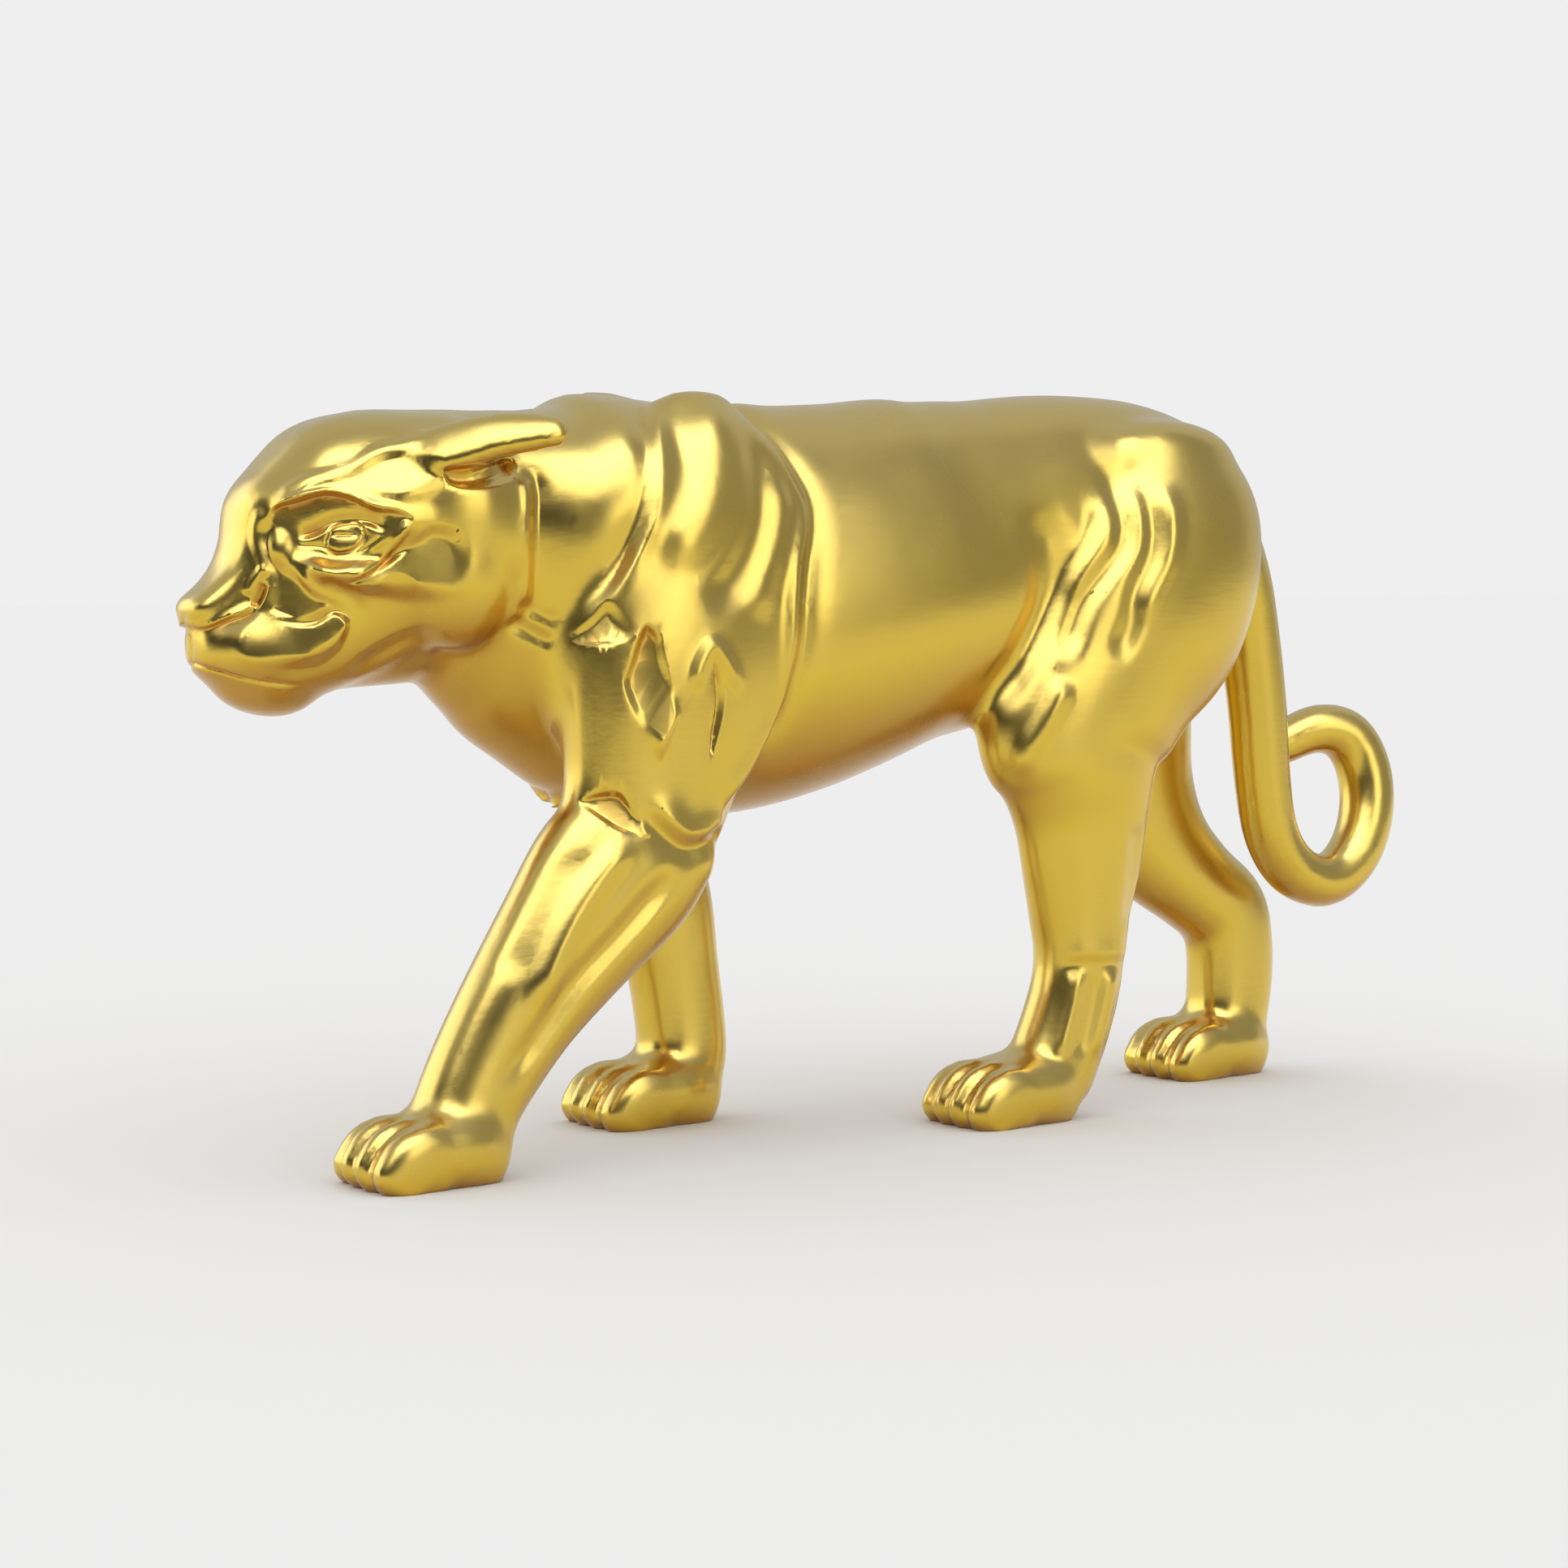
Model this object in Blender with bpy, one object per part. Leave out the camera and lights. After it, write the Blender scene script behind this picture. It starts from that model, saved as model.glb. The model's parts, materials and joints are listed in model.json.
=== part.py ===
"""Walking panther sculpture, cast in one piece and standing on its four paws.

The animal is drawn on a sheet, in millimetres, as lofted masses. They are fused into one skin by a
voxel remesh and softened. The skin is then tooled like clay with grooves, lips and swellings, and
thinned out to flat facets. The panther faces -X, its left side is -Y, and its soles lie on z = 0.
"""
import math

import bmesh
import bpy
import numpy as np
from mathutils import Euler, Matrix, Vector

MM = 0.001

# Driving sizes in millimetres
BACK_HEIGHT = 241.0
TRUNK_LENGTH = 190.0
BARREL_WIDTH = 94.0
HEAD_LENGTH = 100.0
HEAD_WIDTH = 77.0
HEAD_DEPTH = 92.0
EAR_LENGTH = 48.0
SHIN_WIDTH = 31.5
PAW_LENGTH = 53.0
PAW_WIDTH = 36.0
PAW_HEIGHT = 23.0
TAIL_DIAMETER = 20.4
TAIL_CURL_WIDTH = 56.0

# Sizes that the animal has on the drawing sheet
SHEET_BACK, SHEET_TRUNK, SHEET_BARREL = 241.0, 190.0, 94.0
SHEET_HEAD = (100.0, 77.0, 92.0)
SHEET_EAR, SHEET_SHIN, SHEET_TAIL, SHEET_CURL = 48.0, 31.5, 20.4, 56.0
NECK_JOINT = (-140.0, 0.0, 200.0)
EAR_ROOT = (-174.0, 27.0, 220.0)
CURL_START = (187.5, 0.0, 89.0)

# Grain of the skin while it is fused, its final triangles, and what is cut off each sole
COARSE_VOXEL = 2.0
VOXEL = 1.7
FACETS = 12400
SOLE_CUT = 0.35
LEFT, RIGHT = -1, 1


def on_body(x, y, z):
    """Sheet to real size for the trunk, the shoulders and the thighs."""
    return (x * TRUNK_LENGTH / SHEET_TRUNK, y * BARREL_WIDTH / SHEET_BARREL, z * BACK_HEIGHT / SHEET_BACK)


def on_head(x, y, z):
    """Sheet to real size for the head, which hangs on the neck joint."""
    joint = on_body(*NECK_JOINT)
    sizes = (HEAD_LENGTH, HEAD_WIDTH, HEAD_DEPTH)
    return tuple(joint[k] + ((x, y, z)[k] - NECK_JOINT[k]) * sizes[k] / SHEET_HEAD[k] for k in range(3))


def on_tail(x, y, z):
    """Sheet to real size for the tail: the curl keeps its own width below and behind the drop."""
    start = on_body(*CURL_START)
    if x < CURL_START[0]:
        return on_body(x, y, z)
    curl = TAIL_CURL_WIDTH / SHEET_CURL
    return tuple(start[k] + ((x, y, z)[k] - CURL_START[k]) * curl for k in range(3))


# Masses

def smooth_rows(rows, per_span):
    """A smooth curve through rows of numbers, the first three of which are a place."""
    rows = np.array(rows, float)
    gaps = np.sqrt(np.maximum(np.linalg.norm(np.diff(rows[:, :3], axis=0), axis=1), 1e-6))
    along = np.concatenate([[0.0], np.cumsum(gaps)])
    slopes = np.empty_like(rows)
    slopes[1:-1] = (rows[2:] - rows[:-2]) / (along[2:] - along[:-2])[:, None]
    slopes[0] = (rows[1] - rows[0]) / gaps[0]
    slopes[-1] = (rows[-1] - rows[-2]) / gaps[-1]
    curve = []
    for k, gap in enumerate(gaps):
        for u in np.arange(per_span) / per_span:
            start = (2 * u**3 - 3 * u**2 + 1) * rows[k] + (u**3 - 2 * u**2 + u) * gap * slopes[k]
            end = (3 * u**2 - 2 * u**3) * rows[k + 1] + (u**3 - u**2) * gap * slopes[k + 1]
            curve.append(start + end)
    curve.append(rows[-1])
    return np.array(curve)


def outline(sides, half_width, half_out, half_in, power, taper):
    """A rounded section: power 2 is an ellipse, more is squarer; a taper above 0 is wider outward."""
    turn = np.arange(sides) * math.tau / sides
    cosine, sine = np.cos(turn), np.sin(turn)
    out = np.sign(sine) * np.abs(sine) ** (2 / power)
    across = np.sign(cosine) * np.abs(cosine) ** (2 / power) * half_width * (1 + taper * out)
    return np.stack([across, out * np.where(out > 0, half_out, half_in)], axis=1)


def loft(stations, across, outward, sides=24, ends=(0.5, 0.5)):
    """A closed mass through stations of place, half width, half outward, half inward, power, taper."""
    rows = smooth_rows([tuple(row) + (0.0,) * (8 - len(row)) for row in stations], 5)
    middle = rows[:, :3]
    along = np.gradient(middle, axis=0)
    along /= np.linalg.norm(along, axis=1)[:, None]
    side = np.array(across, float) - along * (along @ np.array(across, float))[:, None]
    side /= np.linalg.norm(side, axis=1)[:, None]
    out = np.cross(along, side)
    if (out @ np.array(outward, float)).sum() < 0:
        out = -out

    def ring(k, shrink, shift):
        spots = outline(sides, *(rows[k, 3:6] * shrink), rows[k, 6], rows[k, 7])
        return middle[k] + along[k] * shift + side[k] * spots[:, :1] + out[k] * spots[:, 1:]

    turns = [step / 4.3 * math.pi / 2 for step in (1, 2, 3, 4)]
    first, last = ends[0] * rows[0, 3:6].mean(), ends[1] * rows[-1, 3:6].mean()
    rings = [ring(0, math.cos(turn), -first * math.sin(turn)) for turn in reversed(turns)]
    rings += [ring(k, 1.0, 0.0) for k in range(len(rows))]
    rings += [ring(-1, math.cos(turn), last * math.sin(turn)) for turn in turns]

    bm = bmesh.new()
    loops = [[bm.verts.new(Vector(spot) * MM) for spot in spots] for spots in rings]
    for low, high in zip(loops, loops[1:]):
        for k in range(sides):
            nxt = (k + 1) % sides
            bm.faces.new((low[k], low[nxt], high[nxt], high[k]))
    bm.faces.new(loops[0])
    bm.faces.new(loops[-1])
    bmesh.ops.recalc_face_normals(bm, faces=bm.faces)
    mesh = bpy.data.meshes.new("mass")
    bm.to_mesh(mesh)
    bm.free()
    return mesh


def ball(centre, radii, tilt=0.0, turn=0.0):
    """An egg-shaped mass, tilted about Y and then turned about Z, in degrees."""
    bm = bmesh.new()
    bmesh.ops.create_icosphere(bm, subdivisions=4, radius=1.0)
    spin = Euler((0.0, math.radians(tilt), math.radians(turn))).to_matrix().to_4x4()
    girth = Matrix.Diagonal((*(radius * MM for radius in radii), 1.0))
    bm.transform(Matrix.Translation(Vector(centre) * MM) @ spin @ girth)
    mesh = bpy.data.meshes.new("mass")
    bm.to_mesh(mesh)
    bm.free()
    return mesh


def slice_row(x, top, bottom, half_width, middle=0.56, power=2.1, taper=0.0):
    """A station of the trunk or the head from its top line and bottom line."""
    centre = bottom + (top - bottom) * middle
    return (x, 0.0, centre, half_width, top - centre, centre - bottom, power, taper)


def placed(rows, place, width_scale, out_scale):
    """Stations moved from the sheet to their real places and girths."""
    real = []
    for x, y, z, width, out, inward, *shape in rows:
        real.append((*place(x, y, z), width * width_scale, out * out_scale, inward * out_scale, *shape))
    return real


def trunk():
    rows = [slice_row(-160, 233, 153, 24, 0.52, 2.1, 0.15),
            slice_row(-150, 234.5, 151, 29, 0.54, 2.1, 0.25),
            slice_row(-138, 236, 146, 32, 0.56, 2.1, 0.42),
            slice_row(-126, 237.5, 136.5, 35, 0.57, 2.1, 0.46),
            slice_row(-115, 239, 125.5, 38.5, 0.58, 2.1, 0.44),
            slice_row(-104, 240.2, 115, 41.5, 0.58, 2.1, 0.36),
            slice_row(-93, 240.5, 107, 44, 0.58, 2.1, 0.22),
            slice_row(-78, 240.5, 103, 45.5, 0.56, 2.1, 0.1), slice_row(-63, 240, 101.5, 46),
            slice_row(-46, 239.3, 104, 46.5), slice_row(-24, 239, 109, 47), slice_row(0, 240, 117, 46.5),
            slice_row(20, 241.6, 124.5, 45), slice_row(38, 242.8, 128.5, 42),
            slice_row(58, 243.6, 131.5, 39),
            slice_row(80, 244, 137, 37.5), slice_row(102, 243.7, 144, 37), slice_row(122, 241.5, 148, 35.5),
            slice_row(138, 236, 153, 32), slice_row(151, 227.5, 159, 27), slice_row(160, 217, 167, 19),
            slice_row(165, 208, 176, 12)]
    rows = placed(rows, on_body, BARREL_WIDTH / SHEET_BARREL, BACK_HEIGHT / SHEET_BACK)
    return [loft(rows, (0, 1, 0), (0, 0, 1), sides=40, ends=(0.5, 0.3))]


# Legs: place on the sheet (y is the distance from the middle), half width, half out, half in, power
LEFT_SHOULDER = [(-66, 24, 235, 15, 6, 14, 2), (-66, 30, 222, 23, 9.5, 20, 2),
                 (-66, 33, 203, 29.5, 13, 22, 2.2), (-73, 35, 182, 34.5, 14.5, 22, 2.2),
                 (-80, 36.5, 160, 38, 15.5, 22, 2.2), (-85.5, 37, 140, 36.5, 15.5, 20, 2.2),
                 (-90, 37, 122, 32, 15, 18, 2.2), (-93, 37, 106, 27, 15, 15, 2.1)]
RIGHT_SHOULDER = [(-72, 24, 234.5, 20, 6, 14, 2), (-73, 29, 221, 25, 9.5, 20, 2),
                  (-71, 33, 203, 29, 13, 22, 2.2), (-72, 35, 182, 32, 14, 22, 2.2),
                  (-71, 36, 160, 31, 14, 22, 2.2), (-66, 36, 140, 28, 13.5, 20, 2.2),
                  (-60, 36, 122, 25, 13, 18, 2.2), (-56, 36, 106, 23.5, 14, 15, 2.1)]
LEFT_FOREARM = [(-91, 37, 110, 25.5, 13.5, 13, 2.1), (-97.5, 38, 98, 28, 15, 14, 2.1),
                (-110, 39, 85, 27.3, 15, 14, 2.2), (-122.6, 40, 71, 24, 14.5, 13.5, 2.3),
                (-137.8, 41, 53, 20.5, 13.5, 13, 2.3), (-149.5, 41.5, 36.5, 18.4, 13, 12.5, 2.3),
                (-157.5, 42, 23, 17, 13, 12.5, 2.3), (-160.5, 42, 14, 17, 13.5, 13, 2.2)]
RIGHT_FOREARM = [(-58, 36, 114, 25, 13, 13, 2.1), (-55, 36, 100, 23, 14.5, 13.5, 2.1),
                 (-49.5, 35.5, 85, 20.5, 14, 13, 2.2), (-44, 35, 68, 18, 13.2, 12.5, 2.3),
                 (-41, 34.5, 52, 16.2, 12.8, 12, 2.3), (-38.8, 34, 37, 15.8, 12.8, 12, 2.3),
                 (-38, 33.5, 23, 15.6, 13, 12.5, 2.3), (-40.5, 33, 14, 15.6, 13.5, 13, 2.2)]
LEFT_HIND = [(120, 21, 222, 30, 18, 20, 2), (118.5, 24, 200, 41, 23, 22, 2),
             (107, 26, 174, 44.5, 23.5, 22, 2.1), (90.5, 27, 152, 40, 22, 20, 2.1),
             (77.5, 28.5, 130, 37.5, 20, 16, 2.1), (79.5, 30, 115, 31, 17.5, 14, 2.1),
             (81, 30, 100, 26.2, 15, 13.5, 2.1), (81, 30, 82, 22.3, 13.8, 13, 2.2),
             (80.6, 30, 67, 18.7, 13, 12.5, 2.3), (80.5, 30, 56, 16.4, 13, 12.5, 2.3),
             (79, 30, 44, 15.8, 12.8, 12.5, 2.3), (75.2, 30, 32, 16, 12.8, 12.5, 2.3),
             (70.2, 30, 20, 16, 13, 12.5, 2.3), (67, 30, 13, 16, 13.5, 13, 2.2)]
RIGHT_HIND = [(118, 21, 222, 30, 18, 20, 2), (118, 24, 200, 41, 23, 22, 2),
              (117, 26, 174, 45, 23, 22, 2.1), (122, 28, 150, 44, 21, 20, 2.1),
              (135, 30, 124, 39.5, 18, 16, 2.1), (147, 31, 101, 30, 15.5, 14.5, 2.1),
              (160.8, 31, 83, 22, 14, 13.5, 2.2), (176.8, 31, 69.5, 18, 13.2, 13, 2.3),
              (190, 31, 59, 17.4, 13, 12.5, 2.3), (193.2, 31, 47, 17, 13, 12.5, 2.3),
              (193.4, 31, 34, 16.7, 13, 12.5, 2.3), (191.8, 31, 20, 15.6, 13.5, 13, 2.3),
              (190, 31, 13, 15.4, 13.5, 13, 2.2)]
# Middle of each paw on the sheet: along the body, and from the middle with its side's sign
PAWS = [(-172.0, -43.0), (-52.5, 33.0), (50.7, -30.0), (180.5, 31.0)]
SHIN_TOP = 100.0


def limb_rows(rows):
    """Real stations of a limb: the girth follows the shin below the elbow or the knee."""
    real = []
    for x, y, z, half_width, half_out, half_in, power in rows:
        body = TRUNK_LENGTH / SHEET_TRUNK if z > SHIN_TOP else SHIN_WIDTH / SHEET_SHIN
        flank = BARREL_WIDTH / SHEET_BARREL if z > SHIN_TOP else SHIN_WIDTH / SHEET_SHIN
        real.append((*on_body(x, y, z), half_width * body, half_out * flank, half_in * flank, power))
    return real


def limb(rows, side):
    stations = [(row[0], side * row[1], *row[2:]) for row in limb_rows(rows)]
    return loft(stations, (1, 0, 0), (0, side, 0), ends=(0.6, 0.4))


def limbs():
    left = [limb(rows, LEFT) for rows in (LEFT_SHOULDER, LEFT_FOREARM, LEFT_HIND)]
    right = [limb(rows, RIGHT) for rows in (RIGHT_SHOULDER, RIGHT_FOREARM, RIGHT_HIND)]
    return left + right


def paw_spot(paw, ahead, aside, up):
    """A place in a paw from shares of its length, its width and its height."""
    x, y, _ = on_body(*paw, 0.0)
    return (x - ahead * PAW_LENGTH, y + aside * PAW_WIDTH, up * PAW_HEIGHT)


def paw_pad(paw):
    """The hand or foot behind the toes; it reaches below the floor, where it is cut flat later."""
    shares = [(-0.36, 0.37, 0.37, 0.41), (-0.22, 0.46, 0.46, 0.52), (0.0, 0.5, 0.5, 0.48),
              (0.16, 0.41, 0.5, 0.41), (0.29, 0.28, 0.47, 0.33)]
    rows = []
    for ahead, up, half_width, half_up in shares:
        spot = paw_spot(paw, ahead, 0.0, up)
        rows.append((*spot, half_width * PAW_WIDTH, half_up * PAW_HEIGHT, 0.66 * PAW_HEIGHT, 2.6))
    return loft(rows, (0, 1, 0), (0, 0, 1), ends=(0.6, 0.5))


TOE_SHARES = (-0.37, -0.127, 0.127, 0.37)


def toes(paw):
    """Four toes; the two in the middle reach further and stand a little higher."""
    masses = []
    for aside in TOE_SHARES:
        middle = abs(aside) < 0.2
        reach, rise = (0.037, 0.044) if middle else (0.0, 0.0)
        shares = [(0.02, 0.5, 0.13, 0.33), (0.13 + reach, 0.52, 0.15, 0.35),
                  (0.25 + reach, 0.42, 0.16, 0.35), (0.338 + reach, 0.22, 0.15, 0.3)]
        rows = []
        for ahead, up, half_width, half_up in shares:
            spot = paw_spot(paw, ahead, aside, up + rise)
            rows.append((*spot, half_width * PAW_WIDTH, half_up * PAW_HEIGHT, 0.6 * PAW_HEIGHT, 2.1))
        masses.append(loft(rows, (0, 1, 0), (0, 0, 1), sides=16, ends=(0.6, 0.7)))
    return masses


def head():
    width, depth = HEAD_WIDTH / SHEET_HEAD[1], HEAD_DEPTH / SHEET_HEAD[2]
    skull = [(-206, 0, 202, 15, 12.5, 14, 2.2), (-200, 0, 203, 22, 18, 20, 2.2),
             (-189, 0, 204, 27, 26.5, 28, 2.2), (-174, 0, 203.5, 32.5, 30.5, 35, 2.3),
             (-158, 0, 201.5, 37.5, 32.8, 40, 2.4), (-146, 0, 201, 38.5, 33, 38, 2.5),
             (-137, 0, 202.5, 36, 31.5, 33, 2.4), (-131, 0, 204, 31, 28, 25, 2.2)]
    face = [slice_row(-164, 226, 158, 33, 0.5, 2.5), slice_row(-178, 219, 151, 29, 0.5, 2.5, -0.05),
            slice_row(-190, 209, 145, 25, 0.5, 2.5, -0.1),
            slice_row(-200, 198, 142, 21.5, 0.48, 2.4, -0.18),
            slice_row(-208, 189, 142.5, 18.5, 0.46, 2.3, -0.22),
            slice_row(-216, 182, 146, 15.5, 0.45, 2.3, -0.22),
            slice_row(-223, 176, 151, 11.5, 0.45, 2.2, -0.15)]
    nose = [(-228.5, 0, 172.4, 10.5, 4.5, 6, 2.6), (-221, 0, 176.5, 11.5, 5.5, 8, 2.8),
            (-214, 0, 184, 12.5, 6, 9, 3), (-209.5, 0, 193, 13, 7.2, 9, 3),
            (-206, 0, 203, 15.5, 9, 10, 2.8), (-198, 0, 211.5, 18, 9, 10, 2.5)]
    throat = [(-192, 0, 160, 13, 6, 13, 2), (-176, 0, 163, 16, 8, 15, 2), (-160, 0, 166, 20, 10, 17, 2)]
    masses = []
    for rows, sides in ((skull, 36), (face, 32), (nose, 20), (throat, 20)):
        masses.append(loft(placed(rows, on_head, width, depth), (0, 1, 0), (0, 0, 1), sides=sides))

    def lump(centre, radii, tilt=0.0, turn=0.0):
        real = (radii[0] * HEAD_LENGTH / SHEET_HEAD[0], radii[1] * width, radii[2] * depth)
        masses.append(ball(on_head(*centre), real, tilt, turn))

    lump((-205, 0, 151), (18, 15, 11), tilt=10)
    for side in (LEFT, RIGHT):
        lump((-208, side * 10, 161), (15, 11, 12))
        lump((-152, side * 24, 186), (19, 14.5, 26))
        lump((-185, side * 22, 184), (17, 10, 6.5), tilt=8, turn=side * -18)
        brow = [(-205, side * 17, 202, 6, 6, 6, 2), (-197, side * 21, 204, 7, 7, 7, 2),
                (-188, side * 24, 203.5, 7, 7, 7, 2), (-179, side * 27.5, 201, 7, 7, 7, 2),
                (-168, side * 30, 199, 7, 7, 7, 2)]
        masses.append(loft(placed(brow, on_head, width, depth), (0, 1, 0), (0, 0, 1), sides=16))
    return masses


def ears():
    """Flat leaves laid back along the neck."""
    masses = []
    stretch = EAR_LENGTH / SHEET_EAR
    for side in (LEFT, RIGHT):
        rows = [(-180, 23, 217, 7, 4, 8, 2.2), (-168, 28, 221.5, 9, 4.5, 8, 2.4),
                (-156, 33.5, 223.5, 8.5, 4.5, 6, 2.6), (-145.5, 38, 225, 7.6, 4.2, 4.5, 2.6),
                (-134.5, 42.3, 226.4, 6.4, 3.8, 4, 2.5), (-127.5, 45, 226.8, 5.2, 3.4, 3.4, 2.3)]
        real = []
        for x, y, z, *girth in rows:
            x, y, z = (root + (value - root) * stretch for root, value in zip(EAR_ROOT, (x, y, z)))
            real.append((*on_head(x, side * y, z), *girth))
        masses.append(loft(real, (0, -0.6 * side, 0.8), (0, side, 0), sides=20, ends=(0.5, 0.9)))
    return masses


def tail():
    """Down from the rump and back into a curl. The tip ends beside the drop, clear of a thicker tail."""
    spots = [(152, 0, 207, 15), (163, 0, 196, 13.5), (171.5, 0, 180, 12), (176.5, 0, 160, 11.2),
             (180.5, 0, 135, 10.8), (183, 0, 110, 10.4), (187.5, 0, 89, 10.1), (198, 0, 75.5, 10),
             (213, 0, 71.5, 9.7), (227, 1.5, 80.5, 10), (235, 4, 96, 10.2), (235.5, 7, 112, 10.2),
             (229, 9.5, 123.5, 9.8), (217, 12, 125.8, 9), (205, 14.5, 121.2, 8.2),
             (199, 15.5, 118.8, 7.6)]
    girth = TAIL_DIAMETER / SHEET_TAIL
    rows = [(*on_tail(x, y * girth, z), *(radius * girth,) * 3, 2) for x, y, z, radius in spots]
    return [loft(rows, (0, 1, 0), (0, 0, 1), sides=20, ends=(0.5, 1.0))]


def fuse(meshes, voxel, rounds):
    """One closed skin around all meshes, softened by rounds of smoothing."""
    bm = bmesh.new()
    for mesh in meshes:
        bm.from_mesh(mesh)
        bpy.data.meshes.remove(mesh)
    joined = bpy.data.meshes.new("masses")
    bm.to_mesh(joined)
    bm.free()
    obj = bpy.data.objects.new("masses", joined)
    bpy.context.scene.collection.objects.link(obj)
    skin = obj.modifiers.new("skin", "REMESH")
    skin.mode = "VOXEL"
    skin.voxel_size = voxel * MM
    soften = obj.modifiers.new("soften", "SMOOTH")
    soften.iterations = rounds
    mesh = bpy.data.meshes.new_from_object(obj.evaluated_get(bpy.context.evaluated_depsgraph_get()))
    bpy.data.objects.remove(obj)
    bpy.data.meshes.remove(joined)
    return mesh


# Tooling

class Clay:
    """The skin's points in millimetres, with the tools that push them along their normals."""

    def __init__(self, mesh):
        self.mesh = mesh
        spots = np.empty(len(mesh.vertices) * 3)
        mesh.vertices.foreach_get("co", spots)
        self.spots = spots.reshape(-1, 3) / MM
        self.refresh()

    def refresh(self):
        self.mesh.vertices.foreach_set("co", (self.spots * MM).ravel())
        self.mesh.update()
        normals = np.empty(len(self.spots) * 3)
        self.mesh.vertices.foreach_get("normal", normals)
        self.normals = normals.reshape(-1, 3)

    def near(self, path, reach):
        """Points within reach of a path, their distance, distance to its side and share along it."""
        track = smooth_rows(path, 8)
        low, high = track.min(axis=0) - reach, track.max(axis=0) + reach
        picked = np.flatnonzero(((self.spots >= low) & (self.spots <= high)).all(axis=1))
        spots = self.spots[picked]
        steps = np.diff(track, axis=0)
        lengths = np.linalg.norm(steps, axis=1)
        before = np.concatenate([[0.0], np.cumsum(lengths)])
        best = np.full(len(picked), 1e9)
        foot = np.zeros((len(picked), 3))
        along = np.zeros((len(picked), 3))
        share = np.zeros(len(picked))
        for k, (step, length) in enumerate(zip(steps, lengths)):
            part = np.clip((spots - track[k]) @ step / length**2, 0.0, 1.0)
            spot = track[k] + part[:, None] * step
            distance = np.linalg.norm(spots - spot, axis=1)
            closer = distance < best
            best[closer] = distance[closer]
            foot[closer] = spot[closer]
            along[closer] = step / length
            share[closer] = (before[k] + part[closer] * length) / before[-1]
        keep = best < reach
        beside = np.cross(self.normals[picked[keep]], along[keep])
        side = ((spots[keep] - foot[keep]) * beside).sum(axis=1)
        return picked[keep], best[keep], side, share[keep]

    def push(self, picked, amount):
        self.spots[picked] += self.normals[picked] * amount[:, None]

    def groove(self, path, width, depth, sharp=False, ends=(0.2, 0.2)):
        """A groove along a path, or a ridge where the depth is below 0."""
        picked, distance, _, share = self.near(path, width)
        fall = 1 - distance / width
        profile = fall**2 if sharp else fall**2 * (3 - 2 * fall)
        self.push(picked, -depth * profile * fade(share, ends))

    def lip(self, path, rise, dip, reach, edge=3.0, side=1, ends=(0.2, 0.2)):
        """A step along a path: one side stands proud by rise, the other sinks by dip."""
        picked, distance, beside, share = self.near(path, 2 * reach)
        upper = smooth(beside * side / edge * 0.5 + 0.5)
        spread = np.exp(-((distance / reach) ** 2))
        self.push(picked, (upper * rise - (1 - upper) * dip) * spread * fade(share, ends))

    def swell(self, centre, radii, height):
        """A soft swelling in an egg-shaped field, or a hollow where the height is below 0."""
        span = np.linalg.norm((self.spots - np.array(centre)) / np.array(radii), axis=1)
        picked = np.flatnonzero(span < 1)
        self.push(picked, height * (1 - span[picked] ** 2) ** 2)

    def facet(self, outline, facing, depth=0.0, flat=0.0, reach=14.0):
        """Sinks or flattens a patch inside a closed outline of places, each with its edge's softness."""
        rows = np.array(outline, float)
        rim = smooth_rows(np.vstack([rows[-2:], rows, rows[:3]]), 6)[12:12 + 6 * len(rows)]
        toward = np.array(facing) / np.linalg.norm(facing)
        right = np.cross((0.0, 0.0, 1.0), toward)
        right /= np.linalg.norm(right)
        frame = np.stack([right, np.cross(toward, right), toward], axis=1)
        edge = rim[:, :3] @ frame
        level = np.linalg.lstsq(np.c_[edge[:, :2], np.ones(len(edge))], edge[:, 2], rcond=None)[0]
        flats = self.spots @ frame
        above = flats[:, 2] - flats[:, :2] @ level[:2] - level[2]
        boxed = (flats[:, :2] > edge[:, :2].min(axis=0)) & (flats[:, :2] < edge[:, :2].max(axis=0))
        picked = np.flatnonzero(boxed.all(axis=1) & (np.abs(above) < reach) & (self.normals @ toward > 0.0))
        x, y = flats[picked, 0], flats[picked, 1]
        inside = np.zeros(len(picked), bool)
        distance = np.full(len(picked), 1e9)
        softness = np.ones(len(picked))
        for start, end, soft in zip(edge, np.roll(edge, -1, axis=0), rim[:, 3]):
            span = end[:2] - start[:2]
            crosses = (start[1] > y) != (end[1] > y)
            inside ^= crosses & (x < start[0] + (y - start[1]) * span[0] / (span[1] + 1e-9))
            part = np.clip(((x - start[0]) * span[0] + (y - start[1]) * span[1]) / (span @ span), 0.0, 1.0)
            away = np.hypot(x - start[0] - part * span[0], y - start[1] - part * span[1])
            nearer = away < distance
            distance[nearer], softness[nearer] = away[nearer], soft
        strength = inside * smooth(distance / softness)
        self.spots[picked] -= toward * (strength * (flat * above[picked] + depth))[:, None]


def smooth(value):
    value = np.clip(value, 0.0, 1.0)
    return value * value * (3 - 2 * value)


def fade(share, ends):
    """A stroke's strength: it fades in and out over the given shares of its length."""
    return smooth(share / ends[0]) * smooth((1 - share) / ends[1])


def mirrored(place, spots, side, shift=0.0):
    """Sheet spots of the left side (y below 0), placed on the given side."""
    return [place(x + shift, -side * y, z) for x, y, z in spots]


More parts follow.
